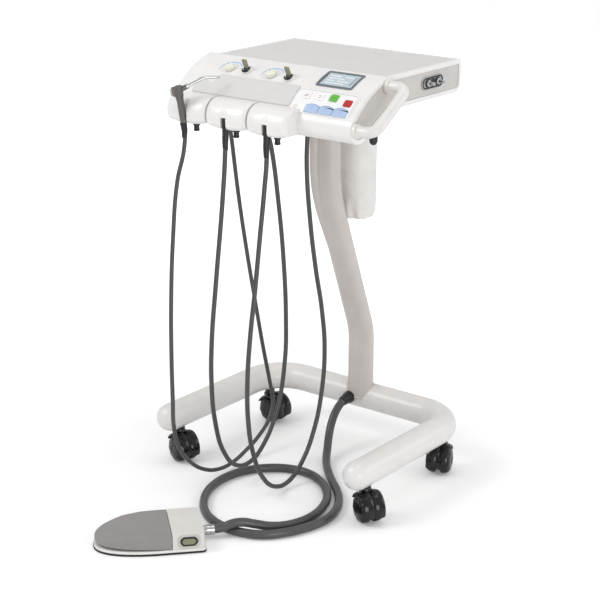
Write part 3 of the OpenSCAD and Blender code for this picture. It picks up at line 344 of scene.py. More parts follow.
PRINTS = {
    name: finish("print_" + name, srgb(colour), 0.45, mottle=0.02)
    for name, colour in PRINT_COLOURS.items()
}
PRINTS["pale"] = finish("print_pale", srgb("dfe7ea"), 0.3, mottle=0.02)
PRINTS["seam"] = finish("seam_shade", srgb("a8a5a1"), 0.6, mottle=0.02)
FLOOR = finish("floor_white", (0.93, 0.93, 0.93), 0.7, mottle=0.004, mottle_size=600, specular=0.1)

SMOOTH_ANGLE = math.radians(32)


def smooth(mesh):
    mesh.shade_smooth()
    mesh.set_sharp_from_angle(angle=SMOOTH_ANGLE)


def dress_cad_nodes():
    """Gives every CAD node its slot's finish and smooth shading."""
    for node, made in frame["nodes"].items():
        made.data.materials.clear()
        made.data.materials.append(MATERIALS[SLOT_OF[node]])
        smooth(made.data)


dress_cad_nodes()
for hose in HOSES:
    hose.data.materials.append(MATERIALS["hose_rubber"])
    smooth(hose.data)
FOOT_HOSE.data.materials.append(MATERIALS["foot_hose_rubber"])
smooth(FOOT_HOSE.data)

# ---------------------------------------------------------------- mesh helpers

BEVEL_STEPS = 3
BEVEL_ANGLE = math.radians(40)
MERGE_GAP = 2e-6
FLAT_ANGLE = math.radians(1)


def piece(name, bm, slot, body="cart", replaces=(), material=None, bevel=0.0):
    """Turns a mesh in millimetres into a named piece that rides on a body."""
    bmesh.ops.recalc_face_normals(bm, faces=bm.faces)
    bm.transform(TO_FRAME)
    mesh = bpy.data.meshes.new(name)
    bm.to_mesh(mesh)
    bm.free()
    made = bpy.data.objects.new(name, mesh)
    SCENE.collection.objects.link(made)
    mesh.materials.append(material or MATERIALS[slot])
    if bevel:
        edge = made.modifiers.new("edge", "BEVEL")
        edge.width = bevel / 1000
        edge.segments = BEVEL_STEPS
        edge.limit_method = "ANGLE"
        edge.angle_limit = BEVEL_ANGLE
    smooth(mesh)
    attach(made, body)
    if replaces:
        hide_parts(*replaces)
    return made


def arc(centre, radius, start, end, steps):
    """Points on an arc; angles in degrees, counted from the first axis."""
    angles = [math.radians(start + (end - start) * i / steps) for i in range(steps + 1)]
    return [(centre[0] + radius * math.cos(a), centre[1] + radius * math.sin(a)) for a in angles]


def add_lathe(bm, turn, profile, steps=40, flutes=0, depth=0.0):
    """Adds a body of (radius, height) points turned about Z, with a fluted side if asked."""
    rings = []
    for radius, height in profile:
        ring = []
        for i in range(steps):
            angle = 2 * math.pi * i / steps
            r = max(radius, 0.01) * (1 + depth * math.cos(flutes * angle))
            ring.append(turn @ Vector((r * math.cos(angle), r * math.sin(angle), height)))
        rings.append(ring)
    add_rings(bm, rings)


def add_strip(bm, surface, path, width, low, high):
    """Adds a thin raised line on a surface; the width is one number or one for each point."""
    rings = []
    for i, here in enumerate(path):
        before, after = path[max(i - 1, 0)], path[min(i + 1, len(path) - 1)]
        along = Vector((after[0] - before[0], after[1] - before[1])).normalized()
        w = (width[i] if isinstance(width, (list, tuple)) else width) / 2
        left = (here[0] - along.y * w, here[1] + along.x * w)
        right = (here[0] + along.y * w, here[1] - along.x * w)
        rings.append([
            surface(*left, low), surface(*left, high), surface(*right, high), surface(*right, low),
        ])
    add_rings(bm, rings)


def flat_surface(turn):
    """A flat surface in a frame of its own, in the form that add_strip takes."""
    return lambda u, v, h: turn @ Vector((u, v, h))


def soften(node, edge, slot=None):
    """A copy of a CAD node's shape with its edges rounded, which stands for the node."""
    bm = bmesh.new()
    bm.from_mesh(frame["nodes"][node].data)
    bmesh.ops.remove_doubles(bm, verts=bm.verts, dist=MERGE_GAP)
    bmesh.ops.dissolve_limit(bm, angle_limit=FLAT_ANGLE, verts=bm.verts, edges=bm.edges)
    bm.transform(TO_FRAME.inverted())
    return piece(node + "_shell", bm, slot or SLOT_OF[node], BODY_OF[node], (node,), bevel=edge)


def soften_all(edges):
    """Softens each node of a table by its own edge."""
    for node, edge in edges.items():
        soften(node, edge)


# ---------------------------------------------------------------- console

TRAY_TOP = 883
CONSOLE_BOTTOM = 816
CONSOLE_REAR = 209
REAR_CORNER_R = 20
HALF_W = 216
SHELL_X = 213
DECK_EDGE = 56
DECK_R = 202
DECK_SLOPE = math.radians(12.9)
NOSE_R = 29
NOSE_BOTTOM = 766
BELLY_SLOPE = math.radians(30)
DECK_C = (-DECK_EDGE + DECK_R * math.sin(DECK_SLOPE), TRAY_TOP - DECK_R * math.cos(DECK_SLOPE))
NOSE_ANGLE = math.acos((NOSE_BOTTOM + NOSE_R - DECK_C[1]) / (DECK_R - NOSE_R))
NOSE_C = (
    DECK_C[0] - (DECK_R - NOSE_R) * math.sin(NOSE_ANGLE),
    DECK_C[1] + (DECK_R - NOSE_R) * math.cos(NOSE_ANGLE),
)
TOP_CORNER_R = 4
BAND_W = 8.5
BAND_EDGE_R = 3
FACE_X = HALF_W - 0.7
SEAM_R = 0.5
SEAM_ZS = (826, 878)
SCREW_XS = (-150, -50, 50, 150)
SCREW_ZS = (838, 866)
SCREW_HEAD = [(3.6, 0), (3.6, 0.8), (3.2, 1.2), (1.4, 1.2), (1.2, 0.5), (0, 0.5)]


def console_side(inset):
    """The console's side view as (y, z) points, made smaller all round by inset."""
    deck_r, nose_r = DECK_R - inset, NOSE_R - inset
    top, low, rear = TRAY_TOP - inset, CONSOLE_BOTTOM + inset, CONSOLE_REAR - inset
    corner_r = REAR_CORNER_R - inset
    start = math.asin((DECK_C[0] + DECK_EDGE) / deck_r)
    points = [(rear - TOP_CORNER_R, top), (-DECK_EDGE + 1, top)]
    points += arc(DECK_C, deck_r, 90 + math.degrees(start), 90 + math.degrees(NOSE_ANGLE), 24)
    points += arc(NOSE_C, nose_r, 90 + math.degrees(NOSE_ANGLE), 270 + math.degrees(BELLY_SLOPE), 20)[1:]
    y, z = points[-1]
    points.append((y + (low - z) / math.tan(BELLY_SLOPE), low))
    points += arc((rear - corner_r, low + corner_r), corner_r, -90, 0, 8)
    points += arc((rear - TOP_CORNER_R, top - TOP_CORNER_R), TOP_CORNER_R, 0, 90, 4)[:-1]
    return points


def make_side():
    """The grey face of the console's right side, in a white band whose outer edge is rounded."""
    profile = [(SHELL_X - 0.6, 0)]
    for a in (math.radians(15 * k) for k in range(7)):
        profile.append((SHELL_X + BAND_EDGE_R * math.sin(a), BAND_EDGE_R - BAND_EDGE_R * math.cos(a)))
    profile += [(HALF_W, BAND_W), (HALF_W - 0.2, BAND_W + 0.6), (FACE_X, BAND_W + 0.8)]
    bm = bmesh.new()
    add_skin(bm, [[Vector((x, y, z)) for y, z in console_side(inset)] for x, inset in profile])
    piece("side_right_band", bm, "white_shell")
    bm = bmesh.new()
    profile = [(SHELL_X - 0.5, 1.5), (FACE_X - 0.6, BAND_W + 0.8), (FACE_X, BAND_W + 1.6)]
    add_rings(bm, [[Vector((x, y, z)) for y, z in console_side(inset)] for x, inset in profile])
    return piece("side_right_face", bm, "grey_shell")


def deck_point(x, s, h):
    """A point at x, s down the deck from its top edge and h above it."""
    a = DECK_SLOPE + s / DECK_R
    return Vector((x, DECK_C[0] - (DECK_R + h) * math.sin(a), DECK_C[1] + (DECK_R + h) * math.cos(a)))


def deck_frame(x, s, lift=0.0):
    """The frame on the deck at x, s: X to the right, Y up the slope, Z out of the deck."""
    a = DECK_SLOPE + s / DECK_R
    turn = Matrix.Translation(deck_point(x, s, 0)) @ Matrix.Rotation(a, 4, "X")
    return turn @ Matrix.Translation((0, 0, lift))


def make_console():
    face = make_side()
    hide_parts("side_panel_right")
    soften("side_panel_left", 1.2, "white_shell")
    soften_all({
        "console_pan": 0.8, "console_tray": 1.6, "deck": 0.35, "nose": 0.35, "tray_inlay": 0.5,
        "work_pad": 0.8, "handle": 0.8, "head_bracket": 1.2,
    })
    bm = bmesh.new()
    end, rear = SHELL_X - 4, CONSOLE_REAR - 0.1
    for z in SEAM_ZS:
        add_sweep(bm, [(-end, rear, z), (end, rear, z)], SEAM_R, 6)
    piece("rear_seams", bm, "grey_shell", material=PRINTS["seam"])
    bm = bmesh.new()
    for x in SCREW_XS:
        for z in SCREW_ZS:
            turn = Matrix.Translation((x, CONSOLE_REAR - 0.6, z)) @ Matrix.Rotation(-math.pi / 2, 4, "X")
            add_lathe(bm, turn, SCREW_HEAD, 18)
    piece("rear_screws", bm, "bright_metal")


make_console()

# ---------------------------------------------------------------- controls

CORNER_STEPS = 6
LONGEST_STEP = 6.0
DISPLAY_AT = (128, 35)
PANEL_AT = (130, 104)
PANEL_SIZE = (147, 60)
KEYS = {
    "key_blue_1": (111, 119), "key_blue_2": (145, 119), "key_blue_3": (179, 119),
    "key_red": (185, 97), "key_green": (148, 89), "key_white_1": (84, 91), "key_white_2": (116, 91),
}
KNOBS = {"knob_left": (-140, 50), "knob_right": (-31, 52)}
TOGGLES = {"toggle_left": (-96, 47), "toggle_right": (15, 51)}
KEY_TOP = 2.7
DISPLAY_LINES = {12: ((-30, -4), (4, 26)), 4: ((-30, 6),), -4: ((-30, -12), (-6, 20)), -12: ((-30, 14),)}
DISPLAY_LINE_W = 3.2
DISPLAY_SCALE_X = 30
DISPLAY_SCALE_YS = (-14, -7, 0, 7, 14)
KEY_MARK_LOW = 2.6
KEY_MARK_HIGH = KEY_TOP + 0.14
PANEL_MARK_LOW = 1.1
PANEL_MARK_HIGH = 1.34
DECK_MARK_HIGH = 0.18
KNOB_SKIRT = [(10.2, 0.9), (10.45, 1.4), (10.45, 6.4)]
KNOB_CAP = [(10.2, 6.4), (10.1, 7.2), (9.5, 8.4), (8.4, 9.1), (6.5, 9.35), (0, 9.45)]
KNOB_SPINDLE = [(3, -12), (3, 1)]
KNOB_POINTER = [(-3.0, 3.6), (-5.6, 6.8)]
KNOB_SCALE_R = 25
KNOB_TICKS_R = (15, 20)
CRESCENT_R = 10.2
TOGGLE_BOOT = [(8.6, 4.6), (8.6, 5.4), (7.4, 6.2), (6.6, 6.4), (6.2, 7.4), (4.6, 8.2)]
OVAL = Matrix.Diagonal((1.0, 0.62, 1.0, 1.0))


def rounded_path(centre, size, r):
    """A closed rounded rectangle as (x, s) points, s counted down the deck."""
    x0, s0 = centre
    w, h = size[0] / 2 - r, size[1] / 2 - r
    points = []
    for k, (sx, ss) in enumerate(((1, 1), (-1, 1), (-1, -1), (1, -1))):
        points += arc((x0 + sx * w, s0 + ss * h), r, 90 * k, 90 * k + 90, CORNER_STEPS)
    return points + points[:1]


def dense(path):
    """The same path in short steps, so that it follows the curved deck."""
    points = [path[0]]
    for a, b in zip(path, path[1:]):
        n = max(1, math.ceil(math.dist(a, b) / LONGEST_STEP))
        points += [(a[0] + (b[0] - a[0]) * k / n, a[1] + (b[1] - a[1]) * k / n) for k in range(1, n + 1)]
    return points


def make_display():
    soften_all({"display_bezel": 0.6, "display_glass": 0.3})
    glass = flat_surface(deck_frame(*DISPLAY_AT, -1))
    bm = bmesh.new()
    for y, runs in DISPLAY_LINES.items():
        for x0, x1 in runs:
            add_strip(bm, glass, [(x0, y), (x1, y)], DISPLAY_LINE_W, 0, 0.12)
    piece("display_lines", bm, "lcd_glass", material=PRINTS["pale"])
    bm = bmesh.new()
    low, high = DISPLAY_SCALE_YS[0], DISPLAY_SCALE_YS[-1]
    add_strip(bm, glass, [(DISPLAY_SCALE_X, low), (DISPLAY_SCALE_X, high)], 1.2, 0, 0.14)
    for y in DISPLAY_SCALE_YS:
        add_strip(bm, glass, [(DISPLAY_SCALE_X - 3, y), (DISPLAY_SCALE_X, y)], 0.8, 0, 0.14)
    piece("display_scale", bm, "lcd_glass", material=PRINTS["dark"])


def add_key_mark(bm, path, width):
    """Adds a printed line on top of a key."""
    add_strip(bm, deck_point, path, width, KEY_MARK_LOW, KEY_MARK_HIGH)


def make_keys():
    soften("key_panel", 0.4)
    for node in KEYS:
        soften(node, 0.7)
    bm = bmesh.new()
    outline = rounded_path(PANEL_AT, (PANEL_SIZE[0] - 5, PANEL_SIZE[1] - 5), 8)
    add_strip(bm, deck_point, dense(outline), 0.7, PANEL_MARK_LOW, 1.32)
    piece("panel_outline", bm, "panel_film", material=PRINTS["grey"])
    bm = bmesh.new()
    for i in (1, 2, 3):
        x, s = KEYS[f"key_blue_{i}"]
        hump = [(x + 14.5 * t, s - 8.6 + 4.2 * t * t) for t in (-1, -0.6, -0.2, 0.2, 0.6, 1)]
        add_strip(bm, deck_point, hump, 1.1, KEY_MARK_LOW, KEY_TOP + 0.16)
        add_key_mark(bm, [(x - 3.5, s + 3), (x, s - 1.5), (x + 3.5, s + 3)], 0.8)
    piece("blue_key_marks", bm, "blue_key", material=PRINTS["blue"])
    bm = bmesh.new()
    x, s = KEYS["key_white_1"]
    add_key_mark(bm, [(x - 4.5, s + 3), (x - 1, s - 1), (x + 4.5, s - 1.5)], 1.1)
    add_key_mark(bm, arc(KEYS["key_white_2"], 3, 200, 500, 12), 0.8)
    for node in ("key_green", "key_red"):
        x, s = KEYS[node]
        add_key_mark(bm, [(x - 3, s), (x + 3, s)], 0.9)
    piece("key_marks", bm, "white_key", material=PRINTS["dark"])
    bm = bmesh.new()
    x, s = KEYS["key_white_1"]
    add_key_mark(bm, [(x - 1, s + 3.4), (x + 4, s + 2.2)], 1.6)
    piece("key_red_mark", bm, "white_key", material=PRINTS["red"])
    bm = bmesh.new()
    green, corner = rounded_path(KEYS["key_green"], (21, 19), 3.5), rounded_path((71, 120), (6, 6), 1)
    add_strip(bm, deck_point, green, 0.7, PANEL_MARK_LOW, PANEL_MARK_HIGH)
    add_strip(bm, deck_point, corner, 0.8, PANEL_MARK_LOW, PANEL_MARK_HIGH)
    piece("panel_marks", bm, "panel_film", material=PRINTS["olive"])


def make_knobs():
    for node, (x, s) in KNOBS.items():
        bm = bmesh.new()
        turn = deck_frame(x, s)
        add_lathe(bm, turn, KNOB_SKIRT, 72, 18, 0.012)
        add_lathe(bm, turn, KNOB_CAP, 48)
        add_lathe(bm, turn, KNOB_SPINDLE, 20)
        piece(node + "_grip", bm, "cream_knob", node, (node,))
        bm = bmesh.new()
        add_strip(bm, flat_surface(turn), KNOB_POINTER, 1.3, 9.0, 9.5)
        piece(node + "_pointer", bm, "cream_knob", node, material=PRINTS["dark"])
        bm = bmesh.new()
        path = arc((x, s), KNOB_SCALE_R, 165, 340, 30)
        width = [1.2 + 3.8 * math.sin(math.pi * k / 30) for k in range(31)]
        add_strip(bm, deck_point, path, width, 0, DECK_MARK_HIGH)
        piece(node + "_scale", bm, "panel_film", material=PRINTS["sky"])
        bm = bmesh.new()
        for a in (math.radians(150 + 24 * k) for k in range(9)):
            tick = [(x + r * math.cos(a), s + r * math.sin(a)) for r in KNOB_TICKS_R]
            add_strip(bm, deck_point, tick, 0.7, 0, DECK_MARK_HIGH)
        piece(node + "_ticks", bm, "panel_film", material=PRINTS["grey"])


def make_toggles():
    soften("toggle_bases", 1.2, "white_shell")
    for node, (x, s) in TOGGLES.items():
        soften(node, 1.3)
        turn = deck_frame(x, s)
        bm = bmesh.new()
        path = arc((0, 0), CRESCENT_R, 195, 345, 20)
        width = [0.6 + 4.2 * math.sin(math.pi * k / 20) for k in range(21)]
        add_strip(bm, flat_surface(turn), path, width, 3.6, 5.7)
        piece(node + "_crescent", bm, "dark_plastic")
        bm = bmesh.new()
        add_lathe(bm, turn @ OVAL, TOGGLE_BOOT, 36)
        piece(node + "_boot", bm, "dark_plastic")


make_display()
make_keys()
make_knobs()
make_toggles()

# ---------------------------------------------------------------- holders, syringe and hose ends

HOLDERS = {"holder_left": -172, "holder_middle": -68, "holder_right": 36}
HOLDER_W = 100
HOLDER_FRONT = -212.3
HOLDER_BACK = NOSE_C[0] - 4
HOLDER_TOP = 822
SLOT_R = 6.8
SLOT_TOP = 792
SYRINGE_SLOT_R = 8.5
LOBE_DEPTH = 5.5
LOBE_EDGE_DEPTH = 3.0
SCALLOP_DEPTH = 3.2
SCALLOP_AT = 0.62
SCALLOP_SPREAD = 0.22
VALVE_RINGS = (
    [(5.6, 750.2), (6.1, 751), (6.1, 753.5), (5.6, 754.2)],
    [(7.4, 762), (7.4, 766), (6.4, 767)],
)


def holder_ring(centre, x, slot_r, slot_y, slot_top):
    """The holder's side view at x: a sloped top, a rounded front and an open slot for the hose."""
    t = abs(x - centre) / (HOLDER_W / 2)
    lobe = LOBE_DEPTH * t ** 3 + LOBE_EDGE_DEPTH * max(0.0, t - 0.9) * 10
    scallop = SCALLOP_DEPTH * math.exp(-(((t - SCALLOP_AT) / SCALLOP_SPREAD) ** 2))
    front = HOLDER_FRONT + lobe
    low = NOSE_BOTTOM + 1 + 5 * t ** 4
    points = [(HOLDER_BACK, low), (HOLDER_BACK, HOLDER_TOP)]
    points += [(p, q + 0.3) for p, q in arc((front + 33, HOLDER_TOP - 34), 33.5, 90, 180, 14)]
    points += [(front + scallop * 0.6, HOLDER_TOP - 38), (front + scallop, HOLDER_TOP - 42)]
    points += arc((front + 11 + scallop, low + 11), 11, 180, 270, 8)
    if slot_r:
        deep = slot_y + math.sqrt(max(0.0, slot_r ** 2 - (x - centre) ** 2))
        points = [(max(y, deep) if z < slot_top and y < slot_y + slot_r + 1 else y, z) for y, z in points]
    return [Vector((x, y, z)) for y, z in points]


def make_holder(node, centre):
    left = node == "holder_left"
    slot_r = SYRINGE_SLOT_R if left else SLOT_R
    slot_y = HOLDER_FRONT + 8
    slot_top = HOLDER_TOP + 9 if left else SLOT_TOP
    half = HOLDER_W / 2 - 0.4
    steps = [-half + (half - slot_r) * k / 16 for k in range(17)]
    slot = [slot_r * math.sin(math.pi * (k - 5) / 10) for k in range(11)]
    rings = [holder_ring(centre, centre + u, 0, 0, 0) for u in steps]
    rings += [holder_ring(centre, centre + u, slot_r, slot_y, slot_top) for u in slot]
    rings += [holder_ring(centre, centre - u, 0, 0, 0) for u in reversed(steps)]
    bm = bmesh.new()
    add_rings(bm, rings)
    piece(node + "_shell", bm, "white_shell", "cart", (node,), bevel=1.4)
    if not left:
        bm = bmesh.new()
        middle = Matrix.Translation((centre, HOLDER_FRONT + 11, SLOT_TOP + 4))
        turns = [math.radians(-80 + 10 * k) for k in range(17)]
        dome = [(15 * math.cos(a), 13 * math.sin(a)) for a in turns]
        add_lathe(bm, middle @ Matrix.Rotation(math.radians(35), 4, "X") @ OVAL, dome, 40)
        piece(node + "_boss", bm, "white_shell")


def sleeve(bm, path, radii, ribs=0, rib=0.35):
    """Adds a tapered strain relief along a hose, with fine ribs where asked."""
    points, radius = [], []
    for i in range(len(path) - 1):
        a, b = Vector(path[i]), Vector(path[i + 1])
        for k in range(8):
            t = (i + k / 8) / (len(path) - 1)
            points.append(a.lerp(b, k / 8))
            r = radii[0] + (radii[1] - radii[0]) * t
            radius.append(r + (rib if ribs and int(t * ribs * 2) % 2 else 0))
    points.append(Vector(path[-1]))
    radius.append(radii[1])
    add_sweep(bm, points, radius, 20)


SYRINGE_FOOT = (-172, HOLDER_FRONT + 2, NOSE_BOTTOM + 4)
SYRINGE_TILT = math.radians(12.5)
SYRINGE_HEAD_Z = 67
NOZZLE_YAW = math.radians(52)
NOZZLE_PITCH = math.radians(16)
NOZZLE_L = 54
NOZZLE_BEND_R = 12
NOZZLE_BEND = math.radians(25)
NOZZLE_TIP_L = 30
SYRINGE_TURN = (
    Matrix.Translation(SYRINGE_FOOT) @ Matrix.Rotation(SYRINGE_TILT, 4, "X")
    @ Matrix.Translation((0, 0, SYRINGE_HEAD_Z)) @ Matrix.Rotation(NOZZLE_YAW, 4, "Z")
)


def make_nozzle():
    """The bent nozzle in its sleeve, and the collar that holds it in the head."""
    turn = SYRINGE_TURN @ Matrix.Rotation(math.pi / 2 - NOZZLE_PITCH, 4, "Y")
    path = [(0, 0, 10 + 4 * k) for k in range(12)]
    for k in range(9):
        a = NOZZLE_BEND * k / 8
        path.append((NOZZLE_BEND_R * (1 - math.cos(a)), 0, NOZZLE_L + NOZZLE_BEND_R * math.sin(a)))
    x, _, z = path[-1]
    for t in (4, 12, 20, 26, NOZZLE_TIP_L):
        path.append((x + t * math.sin(NOZZLE_BEND), 0, z + t * math.cos(NOZZLE_BEND)))
    points = [turn @ Vector(p) for p in path]
    bm = bmesh.new()
    add_sweep(bm, points, [3.0] * (len(points) - 2) + [2.7, 2.2], 20)
    add_lathe(bm, turn, [(4.6, 17.3), (5.2, 18), (5.2, 21.5), (4.4, 22.6)], 60, 12, 0.03)
    piece("nozzle_tube", bm, "bright_metal", "nozzle", ("syringe_nozzle",))


def make_holders():
    for node, centre in HOLDERS.items():
        make_holder(node, centre)
    for node in ("syringe_body", "syringe_button_air", "syringe_button_water", "hose_fittings"):
        soften(node, 0.5)
    make_nozzle()
    bm = bmesh.new()
    sleeve(bm, [(-172, -212, 769), (-172, -208.6, 752), (-172, -209.4, 738)], (7, 4.9), 8)
    for x in (HOLDERS["holder_middle"], HOLDERS["holder_right"]):
        sleeve(bm, [(x, -204.6, 754), (x, -205.4, 742), (x, -205, 726)], (6.6, 5.2), 8)
    for route in (LEFT_ROUTE, MIDDLE_ROUTE, RIGHT_ROUTE):
        x, y, z = route[-1]
        sleeve(bm, [(x, y, z + 2), (x, y, z - 14), (x, y + 0.6, z - 30)], (7.6, 5.3), 8)
    piece("hose_sleeves", bm, "dark_plastic")
    bm = bmesh.new()
    for x in HOLDERS.values():
        turn = Matrix.Translation((x + 13, HOLDER_FRONT + 26, 0))
        for ring in VALVE_RINGS:
            add_lathe(bm, turn, ring, 24)
    piece("valve_rings", bm, "dark_plastic")


make_holders()

# ---------------------------------------------------------------- base, column and castors

CASTORS = {
    "front_left": (-250, -155, 250), "front_right": (250, -155, 240),
    "rear_left": (-237.084, 145.043, 262), "rear_right": (237.084, 145.043, 200),
}
CASTOR_TRAIL = 15
WHEEL_R = 30
BASE_Z = 104
TUBE_R = 30
LEG_XS = (-250, 250)
LEG_END = -185
CROSS_REAR = 185
HOOD_HALF_W = 22.9
HOOD_LEAST_R = 32.2
HOOD_BULGE = 3.3
HOOD_LOBE_W = 24.5
HOOD_INSIDE = [(22.4, 31.2), (-22.4, 31.2)]
HOOD_START = 70
HOOD_SWEEP = 175
HOOD_WEB_R = 31
HOOD_WEB_HALF_W = 6
HOOD_NECK = [(11, 36), (14, 62), (12, 66), (11, 68), (11, 72.5), (10.2, 73.7)]
TYRE = [(4, 6.4), (28, 6.4), (29.6, 7.2), (30, 8.6), (30, 14), (29.3, 17.5)]
WHEEL_FACE = [
    (28.4, 17.5), (28.0, 19.4), (26.4, 22.2), (23.2, 24.6), (18.6, 26.2), (13, 27), (8.4, 27.2),
    (7.6, 26.2), (4, 26.0), (0, 26.4),
]
CAP_SEAM = [(29.6, -1.2), (30, -0.9), (30, 0.9), (29.6, 1.2)]
COLUMN_FOOT_Y = 174
COLUMN_FOOT_HALF_W = 10
WELD_R = 20.4
WELD_BEAD_R = 2.6


def make_castor(index, name, x, y, yaw):
    stand = Matrix.Translation((x, y, 0)) @ Matrix.Rotation(math.radians(yaw), 4, "Z")
    axle = stand @ Matrix.Translation((0, CASTOR_TRAIL, WHEEL_R))
    across = axle @ Matrix.Rotation(math.pi / 2, 4, "Y")
    section = []
    for u in (-HOOD_HALF_W + 2 * HOOD_HALF_W * k / 30 for k in range(31)):
        section.append((u, HOOD_LEAST_R + HOOD_BULGE * abs(math.sin(math.pi * u / HOOD_LOBE_W)) ** 0.6))
    section += HOOD_INSIDE
    bm = bmesh.new()
    rings = []
    for k in range(37):
        a = math.radians(HOOD_START + HOOD_SWEEP * k / 36)
        rings.append([axle @ Vector((u, r * math.sin(a), -r * math.cos(a))) for u, r in section])
    add_rings(bm, rings)
    web = arc((0, 0), HOOD_WEB_R, -20.8, 200.8, 40)
    add_rings(bm, [
        [axle @ Vector((u, y, z)) for y, z in web] for u in (-HOOD_WEB_HALF_W, HOOD_WEB_HALF_W)
    ])
    add_lathe(bm, stand, HOOD_NECK, 36)
    piece(f"castor_{name}_hood", bm, "castor_black", "fork_" + name, (f"castor_fork_{index}",))
    bm = bmesh.new()
    for side in (0, 1):
        turn = across @ Matrix.Rotation(math.pi * side, 4, "X")
        add_lathe(bm, turn, TYRE, 72)
        add_lathe(bm, turn, WHEEL_FACE, 90, 9, 0.03)
    piece(f"castor_{name}_wheels", bm, "wheel_grey", "wheels_" + name, (f"castor_wheels_{index}",))


def make_base():
    for index, (name, (x, y, yaw)) in enumerate(CASTORS.items(), 1):
        make_castor(index, name, x, y, yaw)
    bm = bmesh.new()
    for x in LEG_XS:
        turn = Matrix.Translation((x, LEG_END, BASE_Z)) @ Matrix.Rotation(math.pi / 2, 4, "X")
        add_lathe(bm, turn, CAP_SEAM, 64)
    piece("leg_cap_seams", bm, "white_enamel")
    bm = bmesh.new()
    foot = []
    for k in range(49):
        a = 2 * math.pi * k / 48
        side = 1 if math.cos(a) > 1e-9 else -1 if math.cos(a) < -1e-9 else 0
        x, y = side * COLUMN_FOOT_HALF_W + WELD_R * math.cos(a), COLUMN_FOOT_Y + WELD_R * math.sin(a)
        rise = TUBE_R ** 2 - (y - CROSS_REAR) ** 2
        foot.append((x, y, BASE_Z + math.sqrt(max(rise, 4.0)) + 0.4))
    add_sweep(bm, foot, WELD_BEAD_R, 10)
    piece("column_weld", bm, "grey_enamel")


make_base()

COLUMN_TOP = 810
COLUMN_HEAD = (40.8, 674.65)
COLUMN_SLANT = (64.05, 549.22)
COLUMN_LEAN = math.radians(21)
COLUMN_BEND_R = 350
COVER_R = 11
COVER_AT = (-20, -15)
COVER_SLANT_L = 165
COVER_SINK_L = 250
COVER_SINK = 9
COVER_TAPER = 3


def column_axis(length):
    """The column's axis at a length down from its top: a point (y, z) and the lean there."""
    straight = COLUMN_TOP - COLUMN_HEAD[1]
    if length < straight:
        return COLUMN_HEAD[0], COLUMN_TOP - length, 0.0
    turned = (length - straight) / COLUMN_BEND_R
    if turned < COLUMN_LEAN:
        y = COLUMN_HEAD[0] + COLUMN_BEND_R * (1 - math.cos(turned))
        return y, COLUMN_HEAD[1] - COLUMN_BEND_R * math.sin(turned), turned
    run = length - straight - COLUMN_BEND_R * COLUMN_LEAN
    y, z = COLUMN_SLANT
    return y + run * math.sin(COLUMN_LEAN), z - run * math.cos(COLUMN_LEAN), COLUMN_LEAN


def make_cover():
    """The slim conduit cover, which sinks into the column's front at its lower end."""
    length = COLUMN_TOP - COLUMN_HEAD[1] + COLUMN_BEND_R * COLUMN_LEAN + COVER_SLANT_L
    path, radius = [], []
    for k in range(61):
        along = length * k / 60
        y, z, lean = column_axis(along)
        sunk = max(0.0, 1 - (length - along) / COVER_SINK_L) ** 1.5
        side, front = COVER_AT[0] + COVER_SINK * sunk, COVER_AT[1] + COVER_SINK * sunk
        path.append((side, y + front * math.cos(lean), z + front * math.sin(lean)))
        radius.append(COVER_R - COVER_TAPER * sunk)
    bm = bmesh.new()
    add_sweep(bm, path, radius, 32)
    piece("column_cover_shell", bm, "grey_enamel", "cart", ("column_cover",))


make_cover()

# ---------------------------------------------------------------- bottle, filter and ports

BOTTLE_AT = (22, 122)
BOTTLE_PROFILE = [
    (15, 541), (22, 537.5), (28, 536.4), (33, 539), (36.5, 546), (38.4, 556), (39, 566), (39, 584),
    (38.2, 587), (39, 590), (39, 640), (38.2, 643), (39, 646), (39, 706), (38.4, 714), (35.6, 724),
    (30, 734), (23.6, 741), (18.6, 745.5), (17, 750), (17, 765),
]
PETALS = 5
PETAL_DEPTH = 0.24
PETAL_TOP = 574
PETAL_H = 34
CAP_PROFILE = [(22.6, 749), (23, 750), (23, 768)]
MANIFOLD_PROFILE = [
    (26.4, 768), (28, 769.6), (28, 776), (27.2, 777), (27.2, 780), (28, 781), (28, 816),
]
FILTER_AT = (169, -33)
FILTER_PROFILE = [
    (0, 739), (3, 739.4), (6, 741.4), (7.9, 744.6), (8.5, 748), (8.5, 790), (8.1, 791), (8.1, 793),
    (8.5, 794), (8.5, 806), (12.6, 806), (13.5, 807), (13.5, 816),
]
PORTS_Y = 100
PORT_Z = 851
PORT_APART = 17
PORT_SEAT = [(9.4, 1.6), (9.4, 2.5), (8.4, 2.7), (0, 2.7)]
PORT_COLLAR = [(6.4, 2.4), (6.8, 2.8), (6.8, 5.4), (6.4, 5.9)]


def make_bottle():
    bm = bmesh.new()
    rings = []
    for radius, z in BOTTLE_PROFILE:
        petal = PETAL_DEPTH * max(0.0, min(1.0, (PETAL_TOP - z) / PETAL_H)) ** 0.8
        ring = []
        for i in range(80):
            a = 2 * math.pi * i / 80
            r = radius * (1 - petal * max(0.0, math.cos(PETALS * a)) ** 1.5)
            ring.append(Vector((BOTTLE_AT[0] + r * math.cos(a), BOTTLE_AT[1] + r * math.sin(a), z)))
        rings.append(ring)
    add_rings(bm, rings)
    piece("bottle_shell", bm, "bottle_plastic", "bottle", ("water_bottle",))
    bm = bmesh.new()
    turn = Matrix.Translation((*BOTTLE_AT, 0))
    add_lathe(bm, turn, CAP_PROFILE, 96, 32, 0.012)
    add_lathe(bm, turn, MANIFOLD_PROFILE, 64)
    piece("bottle_head", bm, "dark_plastic", "cart", ("bottle_manifold",))


def make_filter():
    bm = bmesh.new()
    add_lathe(bm, Matrix.Translation((*FILTER_AT, 0)), FILTER_PROFILE, 40)
    piece("filter_bowl", bm, "dark_plastic", "cart", ("air_filter",))


